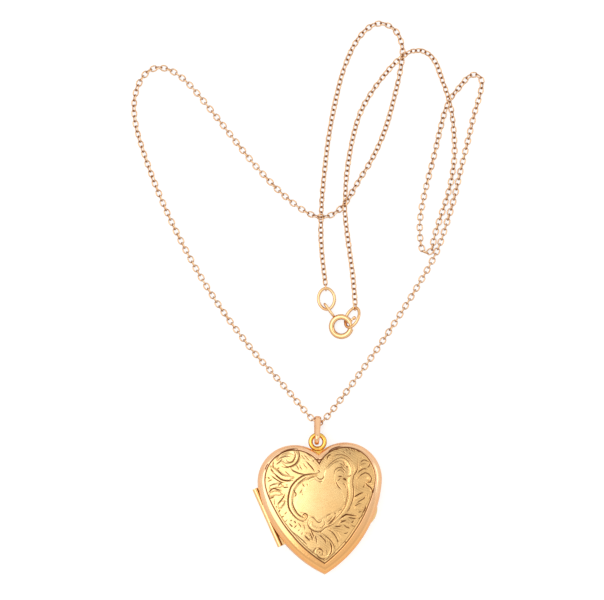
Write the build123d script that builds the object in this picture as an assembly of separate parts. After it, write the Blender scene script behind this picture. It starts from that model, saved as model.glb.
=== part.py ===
from build123d import *
import os
from math import atan2, cos, degrees, hypot, radians, sin, sqrt, tan

# Heart locket on a fine trace chain with a bolt ring clasp. Millimetres, +Z up.
# The locket lies on its back on the surface z = 0, with its suspension loop towards +Y. The
# origin is the middle of the back cover's flat resting face, on the heart's axis of symmetry.

# ---- locket: outline and covers
LOBE_RADIUS = 7.3
LOBE_CENTRE = (5.1, 5.75)
FLANK_RADIUS = 24.1
FLANK_START = -8.0            # degrees: direction in which the lobe arc hands over to the flank arc
LOCKET_DEPTH = 6.2
SEAM_Z = LOCKET_DEPTH / 2
DOME_RADIUS = 70.0
REST_FLAT = 0.15              # how much of the back's crown is taken off to let it lie flat
SHEET = 0.5                   # thickness of the gold sheet of both covers
SHOULDER = 1.2                # radius between the side wall and the dome

# ---- locket: inside
RIM_CLEARANCE = 0.08
RIM_SHEET = 0.27
RIM_HEIGHT = 0.8
RIM_SEAT_Z = 2.05
CARD_SEAT_Z = 2.35
CARD = 0.2
GLAZING = 0.15
FRAME_THICKNESS = 0.35
FRAME_BAND = 1.2
CARD_LEDGE = 0.5

# ---- locket: hinge on the left flank
HINGE_TURN = 20.7             # degrees below the horizontal, where the hinge touches the flank
HINGE_STAND_OFF = 0.05
HINGE_SHIFT = 0.7             # middle of the hinge, along the flank from the touching point
KNUCKLE_RADIUS = 0.55
KNUCKLE_LENGTHS = (3.6, 3.8, 5.2)
KNUCKLE_GAP = 0.06
PIN_RADIUS = 0.22
PIN_RUNNING_GAP = 0.03
POCKET_GAP = 0.08
LEAF_REACH = 1.3
LEAF_DEPTH = 0.85

# ---- locket: thumb lip on the right flank
LIP_TURN = 24.1
LIP_LENGTH = 3.75
LIP_REACH = 0.38
LIP_THICKNESS = 0.5

# ---- suspension loop, its collar and the bail
LOOP_CENTRE_Y = 13.45
LOOP_RADIUS = 1.4
LOOP_WIRE = 0.45
COLLAR_TOP_Y = 12.6
BAIL_INNER = 0.7              # radius inside its two bends
BAIL_THICKNESS = 0.7
BAIL_WIDTHS = (1.36, 0.86)    # at the chain, at the suspension loop
BAIL_SLACK = 0.75             # how far it reaches past the suspension loop's wire
CHAIN_SEAT = (0.3, 17.32, 1.42)

# ---- clasp
RING_HALF = (2.1, 1.63)       # jump rings, half length and half width to the wire's middle
RING_END_RADIUS = 1.3
RING_WIRE = 0.29
LEFT_RING = (3.49, 42.06, 0.74)
RIGHT_RING = (8.4, 38.0, 1.5)
RIGHT_RING_LEAN = 28.0        # degrees from +Y towards +X
RIGHT_RING_TILT = 46.0
RIGHT_RING_SEAT_TURN = 20.0   # where the chain hangs, short of the end of the long axis
BOLT_RING = (6.13, 36.35, 0.935)
BOLT_RING_RADIUS = 1.95
BOLT_RING_TUBE = 0.55
BOLT_RING_BORE = 0.375
BOLT_RING_RISE = 10.8         # degrees: the ring is tilted up in the direction below
BOLT_RING_RISE_TOWARDS = 30.0
MOUTH = (-18.0, 20.0)         # degrees round the ring: the opening that the bolt closes
BOLT_WIRE = 0.325
BOLT_SPAN = (-22.0, 75.0)
BOLT_TAIL = (75.0, 112.0)
BOLT_TAIL_WIRE = 0.2
TRIGGER_AT = 30.0
TRIGGER_TRAVEL = 38.0
TRIGGER_RADIUS = 0.22
TRIGGER_HEAD_AT = 3.15
TRIGGER_HEAD_RADIUS = 0.38
SPRING_SPAN = (114.0, 172.0)
SPRING_BORE = 0.25
SPRING_RADIUS = 0.355
TAIL_LOOP_AT = 123.0
TAIL_LOOP_SPAN = (2.4, 5.85)  # distance of its two ends from the ring's middle
TAIL_LOOP_WIRE = 0.225
TAIL_LOOP_HALF_WIDTH = 0.625
TAIL_LOOP_Z = 0.86

# ---- chain: a limp cord, drawn as a tube of the links' envelope
CHAIN_DIAMETER = 1.1
CORNER_SHARE = 0.45
LINK_HALF = (0.665, 0.49)
LINK_END_RADIUS = 0.45
LINK_WIRE = 0.12
LINK_OFFSET = 0.2             # from the jump ring's wire to the middle of the end link
FLOOR = CHAIN_DIAMETER / 2

CHAIN_ROUTE = [
    # up from the left jump ring, over the middle strand, into the tall loop
    (3.47, 45.08, 0.6), (3.1, 50.0, FLOOR), (3.05, 54.4, 0.7), (3.15, 57.2, 1.95), (3.4, 60.0, 1.95),
    (3.8, 63.0, 0.7), (4.5, 67.5, FLOOR), (5.6, 74.0, FLOOR), (7.3, 81.0, FLOOR), (9.4, 88.0, FLOOR),
    (12.5, 94.0, FLOOR), (16.4, 97.2, FLOOR), (20.2, 95.9, FLOOR), (21.8, 92.0, FLOOR),
    (21.0, 87.3, FLOOR), (19.3, 81.5, FLOOR), (17.2, 75.2, FLOOR), (14.3, 69.6, FLOOR),
    # across to the wide loop on the left and down to the bail
    (11.2, 65.3, FLOOR), (8.5, 61.0, FLOOR), (5.6, 58.6, FLOOR), (2.0, 58.4, FLOOR),
    (-3.4, 62.5, FLOOR), (-9.8, 70.0, FLOOR), (-16.8, 80.2, FLOOR), (-23.1, 88.7, FLOOR),
    (-28.3, 90.8, FLOOR), (-32.0, 87.4, FLOOR), (-33.3, 81.0, FLOOR), (-31.2, 72.0, FLOOR),
    (-27.2, 60.0, FLOOR), (-20.6, 45.8, FLOOR), (-12.7, 33.4, FLOOR), (-6.5, 25.8, FLOOR),
    (-3.1, 21.2, 1.1),
    # through the bail
    (-0.3, 17.45, 1.42), (1.1, 17.15, 1.42),
    # up to the narrow loop on the right
    (4.4, 20.8, 1.0), (7.2, 24.2, FLOOR), (11.8, 29.8, FLOOR), (17.4, 37.2, FLOOR),
    (22.3, 44.2, FLOOR), (26.4, 50.6, FLOOR), (28.3, 55.6, FLOOR), (30.2, 60.7, FLOOR),
    (31.8, 66.4, FLOOR), (33.6, 72.2, FLOOR), (35.3, 78.0, FLOOR), (36.9, 82.2, FLOOR),
    (37.2, 84.9, FLOOR), (35.0, 85.8, FLOOR), (32.6, 83.2, FLOOR), (29.9, 80.2, FLOOR),
    (28.2, 75.0, FLOOR), (26.5, 69.0, FLOOR), (24.4, 62.6, FLOOR), (23.0, 57.0, FLOOR),
    (22.9, 53.0, FLOOR),
    # round the small fold and back up beside the strand it came from
    (23.2, 50.4, FLOOR), (25.1, 50.2, FLOOR), (25.7, 53.3, FLOOR), (27.3, 57.4, FLOOR),
    (28.9, 61.4, FLOOR), (30.1, 65.4, FLOOR), (30.9, 70.0, FLOOR),
    # over the narrow loop, over the tall loop, over the middle strand
    (30.9, 75.0, 0.7), (30.6, 78.8, 1.95), (29.9, 81.9, 1.95), (29.0, 85.2, 0.75), (28.0, 88.8, FLOOR),
    (25.9, 90.9, 0.7), (22.9, 90.8, 1.95), (20.4, 89.2, 1.95), (17.6, 86.4, 0.75), (14.6, 82.8, FLOOR),
    (12.0, 78.6, FLOOR), (10.2, 72.9, FLOOR), (8.9, 67.0, 0.65), (8.3, 62.2, 1.95), (8.05, 59.2, 1.95),
    # down to the right jump ring
    (8.3, 55.6, 0.7), (8.7, 50.6, FLOOR), (9.1, 45.8, 0.7), (9.165, 40.85, 1.04),
]


# ---- the heart and its shells

def flank_centre():
    """Centre of the right flank's arc, which carries the right lobe's arc on without a kink."""
    turn = radians(FLANK_START)
    step = LOBE_RADIUS - FLANK_RADIUS
    return LOBE_CENTRE[0] + step * cos(turn), LOBE_CENTRE[1] + step * sin(turn)


def heart(inset=0.0):
    """The heart outline as a face, moved inwards by inset all the way round."""
    lobe, flank = LOBE_RADIUS - inset, FLANK_RADIUS - inset
    flank_x, flank_y = flank_centre()
    notch = (0, LOBE_CENTRE[1] + sqrt(lobe**2 - LOBE_CENTRE[0]**2))
    tip = (0, flank_y - sqrt(flank**2 - flank_x**2))

    def on_lobe(angle):
        return (LOBE_CENTRE[0] + lobe * cos(radians(angle)), LOBE_CENTRE[1] + lobe * sin(radians(angle)))

    def on_flank(angle):
        return flank_x + flank * cos(radians(angle)), flank_y + flank * sin(radians(angle))

    tip_turn = degrees(atan2(tip[1] - flank_y, -flank_x))
    lobe_arc = (notch, on_lobe(60), on_lobe(FLANK_START))
    flank_arc = (on_lobe(FLANK_START), on_flank((FLANK_START + tip_turn) / 2), tip)
    right = [ThreePointArc(*lobe_arc), ThreePointArc(*flank_arc)]
    left = [ThreePointArc(*[(-x, y) for x, y in arc]) for arc in (lobe_arc, flank_arc)]
    return make_face(Wire(right + left))


def heart_slab(bottom, top, inset=0.0):
    return extrude(Pos(0, 0, bottom) * heart(inset), top - bottom)


def heart_ring(bottom, top, outer_inset, inner_inset):
    return heart_slab(bottom, top, outer_inset) - heart_slab(bottom, top, inner_inset)


def domed_heart(crown_z, end_z, inset=0.0):
    """One half of the locket, from the seam to its crown, with the shoulder rounded over.

    end_z cuts the crown off flat where it lies short of crown_z."""
    up = 1 if crown_z > SEAM_Z else -1
    ball = Pos(0, 0, crown_z - up * DOME_RADIUS) * Sphere(DOME_RADIUS - inset)
    low, high = sorted((SEAM_Z, end_z - up * inset))
    half = heart_slab(low, high, inset) & ball
    rim = [edge for edge in half.edges() if on_shoulder(edge, inset)]
    return fillet(rim, SHOULDER - inset)


def on_shoulder(edge, inset):
    """True for the edges between the side wall and the dome."""
    middle = edge.position_at(0.5)
    off_seam = abs(middle.Z - SEAM_Z) > 1
    upright = abs(edge.position_at(0).Z - edge.position_at(1).Z) > 1
    near_outline = not heart(inset + 0.05).is_inside(Vector(middle.X, middle.Y, 0))
    return off_seam and near_outline and not upright


FRONT_CROWN = LOCKET_DEPTH
BACK_CROWN = -REST_FLAT
front_solid = domed_heart(FRONT_CROWN, FRONT_CROWN)
front_cavity = domed_heart(FRONT_CROWN, FRONT_CROWN, SHEET)
back_solid = domed_heart(BACK_CROWN, 0)
back_cavity = domed_heart(BACK_CROWN, 0, SHEET)
heart_column = heart_slab(0, LOCKET_DEPTH)


# ---- hinge

def hinge_plane():
    """Plane across the hinge line: local X points into the heart, local Y up, Z along the pin."""
    flank_x, flank_y = flank_centre()
    turn = radians(HINGE_TURN)
    outward = Vector(-cos(turn), -sin(turn), 0)
    along = Vector(sin(turn), -cos(turn), 0)
    touch = Vector(-flank_x, flank_y, SEAM_Z) + outward * (FLANK_RADIUS + HINGE_STAND_OFF)
    return Plane(origin=touch + along * HINGE_SHIFT, x_dir=-outward, z_dir=along)


HINGE = hinge_plane()
HINGE_LENGTH = sum(KNUCKLE_LENGTHS)


def hinge_rod(radius, start, end):
    rod = Cylinder(radius, end - start, align=(Align.CENTER, Align.CENTER, Align.MIN))
    return HINGE * (Pos(0, 0, start) * rod)


def knuckle_span(index):
    start = -HINGE_LENGTH / 2 + sum(KNUCKLE_LENGTHS[:index])
    return start + KNUCKLE_GAP / 2, start + KNUCKLE_LENGTHS[index] - KNUCKLE_GAP / 2


def knuckle(index, side):
    """A hinge tube with the leaf that joins it to its cover: side is 1 for front, -1 for back."""
    start, end = knuckle_span(index)
    tube = hinge_rod(KNUCKLE_RADIUS, start, end)
    leaf = Box(LEAF_REACH, LEAF_DEPTH, end - start, align=(Align.MIN, Align.MIN, Align.MIN))
    if side < 0:
        leaf = Pos(0, -LEAF_DEPTH, 0) * leaf
    leaf = (HINGE * (Pos(0, 0, start) * leaf)) - heart_column
    bore = PIN_RADIUS + (PIN_RUNNING_GAP if side > 0 else 0)
    return (tube + leaf) - hinge_rod(bore, start - 1, end + 1)


def cut_pockets(cover, side):
    """Cut the grooves that the three hinge tubes lie in."""
    for index in range(len(KNUCKLE_LENGTHS)):
        start, end = knuckle_span(index)
        own = side == (1 if index == 1 else -1)
        radius = KNUCKLE_RADIUS + (0 if own else POCKET_GAP)
        margin = 0 if own else KNUCKLE_GAP
        cover -= hinge_rod(radius, start - margin, end + margin)
    return cover


# ---- rings of wire

def oval(half_length, half_width, end_radius):
    """Oval of four tangent arcs in the XY plane, with its long axis along Y."""
    end_y = half_length - end_radius
    side_radius = (end_y**2 + half_width**2 - end_radius**2) / (2 * (half_width - end_radius))
    side_x = half_width - side_radius
    reach = side_radius / hypot(side_x, end_y)
    join = (side_x - side_x * reach, end_y * reach)
    corners = [(join[0], join[1]), (-join[0], join[1]), (-join[0], -join[1]), (join[0], -join[1])]
    middles = [(0, half_length), (-half_width, 0), (0, -half_length), (half_width, 0)]
    arcs = [ThreePointArc(corners[i], middles[i], corners[(i + 1) % 4]) for i in range(4)]
    return Wire(arcs)


def wire_ring(path, wire_radius):
    start = Plane(origin=path @ 0, z_dir=path % 0)
    return sweep(start * Circle(wire_radius), path=path)


def racetrack(half_straight, radius):
    """Two half circles joined by straights in the XY plane, with the long axis along Y."""
    right, left = (radius, half_straight), (-radius, half_straight)
    return Wire([
        ThreePointArc(right, (0, half_straight + radius), left),
        Line(left, (-radius, -half_straight)),
        ThreePointArc((-radius, -half_straight), (0, -half_straight - radius), (radius, -half_straight)),
        Line((radius, -half_straight), right),
    ])


def half_racetrack(half_straight, radius):
    """The half of a racetrack with positive X, from its +Y end to its -Y end."""
    slant = radius * sqrt(0.5)
    bend = ((0, half_straight + radius), (slant, half_straight + slant), (radius, half_straight))
    return Wire([
        ThreePointArc(*bend),
        Line((radius, half_straight), (radius, -half_straight)),
        ThreePointArc(*[(x, -y) for x, y in reversed(bend)]),
    ])


def bail():
    """Tapered strap bent into a long ring, through which the chain and the loop's wire pass."""
    chain_end = Vector(*CHAIN_SEAT)
    loop_wire = Vector(0, LOOP_CENTRE_Y + LOOP_RADIUS, SEAM_Z)
    span = loop_wire - chain_end
    half_straight = (span.length + BAIL_SLACK) / 2
    across = Vector(span.Y, -span.X, 0).normalized()
    middle = chain_end + span.normalized() * half_straight
    plane = Plane(origin=middle, x_dir=across.cross(span), z_dir=across)
    path = plane * half_racetrack(half_straight, BAIL_INNER + BAIL_THICKNESS / 2)
    sections = [
        Plane(origin=path @ end, x_dir=across, z_dir=path % end) * Ellipse(width / 2, BAIL_THICKNESS / 2)
        for end, width in enumerate(BAIL_WIDTHS)
    ]
    side = sweep(sections, path=path, multisection=True)
    return side + mirror(side, about=Plane(origin=middle, z_dir=plane.x_dir))


# ---- clasp

def lean_plane(origin, lean, tilt):
    """Ring plane: long axis leant from +Y towards +X, then tilted about that axis."""
    lean, tilt = radians(lean), radians(tilt)
    long_axis = Vector(sin(lean), cos(lean), 0)
    short_axis = Vector(cos(lean) * cos(tilt), -sin(lean) * cos(tilt), sin(tilt))
    return Plane(origin=origin, x_dir=short_axis, z_dir=short_axis.cross(long_axis))


def bolt_ring_plane():
    towards, rise = radians(BOLT_RING_RISE_TOWARDS), radians(BOLT_RING_RISE)
    uphill = Vector(cos(towards) * cos(rise), sin(towards) * cos(rise), sin(rise))
    level = Vector(-sin(towards), cos(towards), 0)
    return Plane(origin=BOLT_RING, x_dir=uphill, z_dir=uphill.cross(level))


CLASP = bolt_ring_plane()


def ring_sector(radius, span):
    """Round bar bent along the bolt ring, between two directions in degrees."""
    start, end = (angle - BOLT_RING_RISE_TOWARDS for angle in span)
    arc = CenterArc((0, 0), BOLT_RING_RADIUS, start, end - start)
    section = Plane(origin=arc @ 0, z_dir=arc % 0) * Circle(radius)
    return CLASP * sweep(section, path=arc)


def bolt_ring_body():
    """Open tube with a slot in its outer side for the trigger."""
    span = (MOUTH[1], MOUTH[0] + 360)
    body = ring_sector(BOLT_RING_TUBE, span) - ring_sector(BOLT_RING_BORE, (span[0] - 1, span[1] + 1))
    half_slot = TRIGGER_RADIUS + 0.06
    slot_start = MOUTH[1] - BOLT_RING_RISE_TOWARDS - 1
    slot_end = TRIGGER_AT + TRIGGER_TRAVEL + 8 - BOLT_RING_RISE_TOWARDS
    arc = CenterArc((0, 0), BOLT_RING_RADIUS + BOLT_RING_TUBE, slot_start, slot_end - slot_start)
    section = Plane(origin=arc @ 0, z_dir=arc % 0) * Rectangle(1.0, 2 * half_slot)
    return body - CLASP * sweep(section, path=arc)


def trigger_knob():
    """Ball on a short stalk that points out from the middle of the ring."""
    stalk_length = TRIGGER_HEAD_AT - BOLT_RING_RADIUS
    stalk = Cylinder(TRIGGER_RADIUS, stalk_length, align=(Align.CENTER, Align.CENTER, Align.MIN))
    knob = stalk + Pos(0, 0, stalk_length) * Sphere(TRIGGER_HEAD_RADIUS)
    turn = TRIGGER_AT - BOLT_RING_RISE_TOWARDS
    return CLASP * (Rot(0, 0, turn) * (Pos(BOLT_RING_RADIUS, 0, 0) * (Rot(0, 90, 0) * knob)))


def bolt():
    return ring_sector(BOLT_WIRE, BOLT_SPAN) + ring_sector(BOLT_TAIL_WIRE, BOLT_TAIL) + trigger_knob()


def tail_loop():
    """Small upright loop on the bolt ring, through which the left jump ring passes."""
    turn = radians(TAIL_LOOP_AT)
    outward = Vector(cos(turn), sin(turn), 0)
    near, far = TAIL_LOOP_SPAN
    centre = Vector(BOLT_RING[0], BOLT_RING[1], TAIL_LOOP_Z) + outward * ((near + far) / 2)
    across = outward.cross(Vector(0, 0, 1))
    plane = Plane(origin=centre, x_dir=Vector(0, 0, 1), z_dir=across)
    half_straight = (far - near) / 2 - TAIL_LOOP_HALF_WIDTH - TAIL_LOOP_WIRE
    loop = wire_ring(plane * racetrack(half_straight, TAIL_LOOP_HALF_WIDTH), TAIL_LOOP_WIRE)
    return loop - ring_sector(BOLT_RING_TUBE, (TAIL_LOOP_AT - 40, TAIL_LOOP_AT + 40))


def chain_seat(plane, turn):
    """Middle of a jump ring's wire where the chain hangs, and the wire's direction there.

    turn is in degrees round the arc at the ring's end, from the ring's long axis."""
    turn = radians(turn)
    arc_centre = plane.origin + plane.y_dir * (RING_HALF[0] - RING_END_RADIUS)
    outward = plane.y_dir * cos(turn) - plane.x_dir * sin(turn)
    return arc_centre + outward * RING_END_RADIUS, plane.x_dir * cos(turn) + plane.y_dir * sin(turn)


def end_link(seat, along, normal):
    """Last link of the chain, round a jump ring's wire at seat, pointing along the chain."""
    across = normal - along * normal.dot(along)
    plane = Plane(origin=seat + along * LINK_OFFSET, x_dir=along.cross(across), z_dir=across)
    return wire_ring(plane * oval(*LINK_HALF, LINK_END_RADIUS), LINK_WIRE)


# ---- chain

def chain_path():
    """Straight runs of the route, joined by the largest tangent arcs that they allow."""
    points = [Vector(*point) for point in CHAIN_ROUTE]
    radii = []
    for before, corner, after in zip(points, points[1:], points[2:]):
        arriving, leaving = corner - before, after - corner
        turn = radians(arriving.get_angle(leaving))
        radii.append(CORNER_SHARE * min(arriving.length, leaving.length) / tan(turn / 2))
    print("chain radii:", [round(radius, 1) for radius in radii])
    return FilletPolyline(*points, radius=radii)


def chain_tube():
    path = chain_path()
    tube = sweep(Plane(origin=path @ 0, z_dir=path % 0) * Circle(CHAIN_DIAMETER / 2), path=path)
    share = tube.volume / (path.length * Circle(CHAIN_DIAMETER / 2).area)
    print(f"chain length {path.length:.1f} mm, volume over section times length {share:.4f}")
    return tube


# ---- locket pieces

def front_cover():
    return cut_pockets(front_solid - front_cavity, 1)


def back_cover():
    return cut_pockets(back_solid - back_cavity, -1)


def catch_rim():
    """Inner bezel of the back cover, over which the front cover snaps, with a seat for the card."""
    inner = SHEET + RIM_CLEARANCE + RIM_SHEET
    seat = heart_ring(RIM_SEAT_Z, CARD_SEAT_Z, SHEET / 2, inner + CARD_LEDGE) & back_cavity
    wall = heart_ring(CARD_SEAT_Z, SEAM_Z, SHEET, inner)
    collar = heart_ring(SEAM_Z, SEAM_Z + RIM_HEIGHT, SHEET + RIM_CLEARANCE, inner)
    groove = hinge_rod(KNUCKLE_RADIUS + KNUCKLE_GAP, -HINGE_LENGTH / 2 - 1, HINGE_LENGTH / 2 + 1)
    return seat + wall + collar - groove


def thumb_lip():
    """Crescent on the front cover's edge for the thumbnail."""
    flank_x, flank_y = flank_centre()
    turn = radians(-LIP_TURN)
    bulge = LIP_REACH + LIP_LENGTH**2 / 8 / FLANK_RADIUS
    radius = (LIP_LENGTH**2 / 4 + bulge**2) / (2 * bulge)
    distance = FLANK_RADIUS + LIP_REACH - radius
    disc = Cylinder(radius, LIP_THICKNESS, align=(Align.CENTER, Align.CENTER, Align.MIN))
    disc = Pos(flank_x + distance * cos(turn), flank_y + distance * sin(turn), SEAM_Z) * disc
    return disc - heart_column


def loop_collar():
    """Small wedge in the back half of the notch that carries the suspension loop."""
    notch_y = LOBE_CENTRE[1] + sqrt(LOBE_RADIUS**2 - LOBE_CENTRE[0]**2)
    wedge = Box(2.4, COLLAR_TOP_Y - notch_y, 1.2, align=(Align.CENTER, Align.MIN, Align.MAX))
    wedge = Pos(0, notch_y, SEAM_Z - 0.05) * wedge
    return wedge - heart_column - suspension_loop()


def suspension_loop():
    return Pos(0, LOOP_CENTRE_Y, SEAM_Z) * Torus(LOOP_RADIUS, LOOP_WIRE)


back_stack = [CARD_SEAT_Z, CARD_SEAT_Z + CARD, CARD_SEAT_Z + CARD + GLAZING]
back_stack.append(back_stack[-1] + FRAME_THICKNESS)
back_inset = SHEET + RIM_CLEARANCE + RIM_SHEET
front_stack = [SEAM_Z + RIM_HEIGHT + 0.05]
front_stack += [front_stack[0] + FRAME_THICKNESS, front_stack[0] + FRAME_THICKNESS + GLAZING]
front_stack.append(front_stack[-1] + CARD)
front_inset = SHEET + 0.1

left_ring_plane = lean_plane(LEFT_RING, 0, 0)
right_ring_plane = lean_plane(RIGHT_RING, RIGHT_RING_LEAN, RIGHT_RING_TILT)
left_seat, left_wire = chain_seat(left_ring_plane, 0)
right_seat, right_wire = chain_seat(right_ring_plane, RIGHT_RING_SEAT_TURN)
right_run = (Vector(*CHAIN_ROUTE[-1]) - right_seat).normalized()

nodes = {
    "front_cover": front_cover(),
    "back_cover": back_cover(),
    "catch_rim": catch_rim(),
    "thumb_lip": thumb_lip(),
    "hinge_knuckle_upper": knuckle(0, -1),
    "hinge_knuckle_middle": knuckle(1, 1),
    "hinge_knuckle_lower": knuckle(2, -1),
    "hinge_pin": hinge_rod(PIN_RADIUS, -HINGE_LENGTH / 2, HINGE_LENGTH / 2),
    "front_photo_frame": heart_ring(front_stack[0], front_stack[1], front_inset, front_inset + FRAME_BAND)
    & front_cavity,
    "front_glazing": heart_slab(front_stack[1], front_stack[2], front_inset) & front_cavity,
    "front_photo_card": heart_slab(front_stack[2], front_stack[3], front_inset) & front_cavity,
    "back_photo_card": heart_slab(back_stack[0], back_stack[1], back_inset),
    "back_glazing": heart_slab(back_stack[1], back_stack[2], back_inset),
    "back_photo_frame": heart_ring(back_stack[2], back_stack[3], back_inset, back_inset + FRAME_BAND),
    "suspension_loop": suspension_loop(),
    "loop_collar": loop_collar(),
    "bail_ring": bail(),
    "chain": chain_tube(),
    "chain_end_link_left": end_link(left_seat, Vector(0, 1, 0), left_wire),
    "chain_end_link_right": end_link(right_seat, right_run, right_wire),
    "jump_ring_left": wire_ring(left_ring_plane * oval(*RING_HALF, RING_END_RADIUS), RING_WIRE),
    "jump_ring_right": wire_ring(right_ring_plane * oval(*RING_HALF, RING_END_RADIUS), RING_WIRE),
    "bolt_ring_body": bolt_ring_body(),
    "bolt_ring_bolt": bolt(),
    "bolt_ring_spring": ring_sector(SPRING_RADIUS, SPRING_SPAN) - ring_sector(SPRING_BORE, SPRING_SPAN),
    "bolt_ring_tail_loop": tail_loop(),
}

os.makedirs("parts", exist_ok=True)
for name, solid in nodes.items():
    export_step(solid, f"parts/{name}.step")
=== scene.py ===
from math import acos, atan2, cos, pi, radians, sin, sqrt

import bpy
import numpy as np
from mathutils import Matrix, Vector, noise


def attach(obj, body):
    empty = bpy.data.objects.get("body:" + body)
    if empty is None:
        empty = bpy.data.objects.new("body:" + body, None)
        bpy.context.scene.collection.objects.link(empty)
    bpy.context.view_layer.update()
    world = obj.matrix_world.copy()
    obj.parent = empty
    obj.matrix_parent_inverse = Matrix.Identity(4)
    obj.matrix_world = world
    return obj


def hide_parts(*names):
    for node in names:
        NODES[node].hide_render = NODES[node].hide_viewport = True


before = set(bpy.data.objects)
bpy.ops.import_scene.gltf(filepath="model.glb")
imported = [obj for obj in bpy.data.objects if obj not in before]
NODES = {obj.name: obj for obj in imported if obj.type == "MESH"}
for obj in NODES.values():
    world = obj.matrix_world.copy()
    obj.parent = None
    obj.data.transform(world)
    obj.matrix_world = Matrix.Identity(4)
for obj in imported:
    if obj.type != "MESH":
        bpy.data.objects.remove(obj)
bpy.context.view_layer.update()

MM = 0.001


def placed(name, data):
    """A new object in the scene that shows the data."""
    made = bpy.data.objects.new(name, data)
    bpy.context.scene.collection.objects.link(made)
    return made


# ---- camera

VIEW_CENTRE = Vector((-1.45, 42.05, 1.5)) * MM
VIEW_UP = Vector((0.0557, 0.99845, 0.0))
VIEW_LEAN = Vector((-0.05, -0.06, 1.0))      # from the object towards the camera
VIEW_DISTANCE = 2.0
VIEW_WIDTH = 0.1208                           # what the picture takes in, side to side
SENSOR = 36.0

camera = placed("camera", bpy.data.cameras.new("camera"))
back = VIEW_LEAN.normalized()
right = VIEW_UP.cross(back).normalized()
camera.matrix_world = Matrix.Translation(VIEW_CENTRE + back * VIEW_DISTANCE) @ Matrix(
    (right, back.cross(right), back)).transposed().to_4x4()
camera.data.sensor_width = SENSOR
camera.data.lens = SENSOR * VIEW_DISTANCE / VIEW_WIDTH
camera.data.clip_start, camera.data.clip_end = 0.1, 10.0
bpy.context.scene.camera = camera


# ---- materials

def new_material(name):
    material = bpy.data.materials.new(name)
    material.use_nodes = True
    tree = material.node_tree
    return material, tree, tree.nodes["Principled BSDF"]


def node(tree, kind, **values):
    """A shader node with some of its input sockets and properties set by name."""
    made = tree.nodes.new(kind)
    for key, value in values.items():
        if hasattr(made, key):
            setattr(made, key, value)
        else:
            made.inputs[key.replace("_", " ")].default_value = value
    return made


def place_noise(tree, scale, detail=3.0, stretch=None):
    """Noise fixed to the metal, scale in features per metre."""
    where = node(tree, "ShaderNodeTexCoord").outputs["Object"]
    if stretch:
        mapping = node(tree, "ShaderNodeMapping")
        mapping.inputs["Rotation"].default_value = (0, 0, stretch[0])
        mapping.inputs["Scale"].default_value = (1, stretch[1], 1)
        tree.links.new(where, mapping.inputs["Vector"])
        where = mapping.outputs["Vector"]
    texture = node(tree, "ShaderNodeTexNoise", Scale=scale, Detail=detail)
    tree.links.new(where, texture.inputs["Vector"])
    return texture.outputs["Fac"]


def spread(tree, fac, low, high, from_low=0.3, from_high=0.7):
    """Maps a factor's middle range to low..high."""
    ranged = node(tree, "ShaderNodeMapRange")
    for socket, value in (("From Min", from_low), ("From Max", from_high), ("To Min", low), ("To Max", high)):
        ranged.inputs[socket].default_value = value
    tree.links.new(fac, ranged.inputs["Value"])
    return ranged.outputs["Result"]


def blend_colour(tree, fac, first, second):
    mix = node(tree, "ShaderNodeMix", data_type="RGBA")
    tree.links.new(fac, mix.inputs["Factor"])
    for slot, value in (("A", first), ("B", second)):
        socket = next(s for s in mix.inputs if s.name == slot and s.type == "RGBA")
        if isinstance(value, tuple):
            socket.default_value = (*value, 1.0)
        else:
            tree.links.new(value, socket)
    return next(s for s in mix.outputs if s.type == "RGBA")


def bump(tree, height, distance, strength, below=None):
    made = node(tree, "ShaderNodeBump", Strength=strength, Distance=distance)
    tree.links.new(height, made.inputs["Height"])
    if below is not None:
        tree.links.new(below, made.inputs["Normal"])
    return made.outputs["Normal"]


def attribute(tree, name):
    return node(tree, "ShaderNodeAttribute", attribute_name=name).outputs["Fac"]


def scratched(tree, shader, lump_scale, lumps, scratches):
    """Slight lumps in the polish, under two crossing sets of hairline scratches."""
    soft = bump(tree, place_noise(tree, lump_scale, detail=1.0), 2.0e-5, lumps)
    hair = bump(tree, place_noise(tree, 9000.0, stretch=(0.6, 0.12)), 2.0e-6, scratches, soft)
    cross = bump(tree, place_noise(tree, 7000.0, stretch=(-0.9, 0.1)), 2.0e-6, scratches, hair)
    tree.links.new(cross, shader.inputs["Normal"])


def gold(name, bright, deep, roughness=(0.10, 0.20), scratches=0.25, lumps=0.3, sides=None, painted_shade_tone=None):
    """Worn polished gold: a slow drift of colour, hairline scratches and slight lumps in the polish.

    sides is a darker tone painted on the steep faces: painted shade and painted reflection at the edges
    of wires and loops. The last dark tone is painted shade, laid where a mesh marks it in an attribute."""
    material, tree, shader = new_material(name)
    shader.inputs["Metallic"].default_value = 1.0
    tone = spread(tree, place_noise(tree, 420.0), 0.0, 1.0)
    metal = blend_colour(tree, tone, bright, deep)
    if sides:
        # painted shade and painted reflection: steep faces blend towards the darker sides tone
        split = node(tree, "ShaderNodeSeparateXYZ")
        tree.links.new(node(tree, "ShaderNodeTexCoord").outputs["Normal"], split.inputs["Vector"])
        level = node(tree, "ShaderNodeMath", operation="ABSOLUTE")
        tree.links.new(split.outputs["Z"], level.inputs[0])
        metal = blend_colour(tree, spread(tree, level.outputs["Value"], 1.0, 0.0, 0.15, 0.85), metal, sides)
    if painted_shade_tone:
        # painted shade where the mesh's attribute marks it
        metal = blend_colour(tree, attribute(tree, "tarnish_and_shade"), metal, painted_shade_tone)
    tree.links.new(metal, shader.inputs["Base Color"])
    rubbed = place_noise(tree, 2600.0, detail=5.0)
    tree.links.new(spread(tree, rubbed, *roughness), shader.inputs["Roughness"])
    scratched(tree, shader, 900.0, lumps, scratches)
    return material


YELLOW, YELLOW_DEEP = (1.0, 0.71, 0.34), (0.98, 0.63, 0.27)
ROSE, ROSE_DEEP = (1.0, 0.66, 0.40), (0.98, 0.60, 0.34)
ORANGE, AMBER = (0.97, 0.52, 0.20), (1.0, 0.61, 0.24)
# dark tone for the patina in the cuts and for painted shade
TARNISH_AND_SHADE_TONE = (0.17, 0.048, 0.012)

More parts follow.
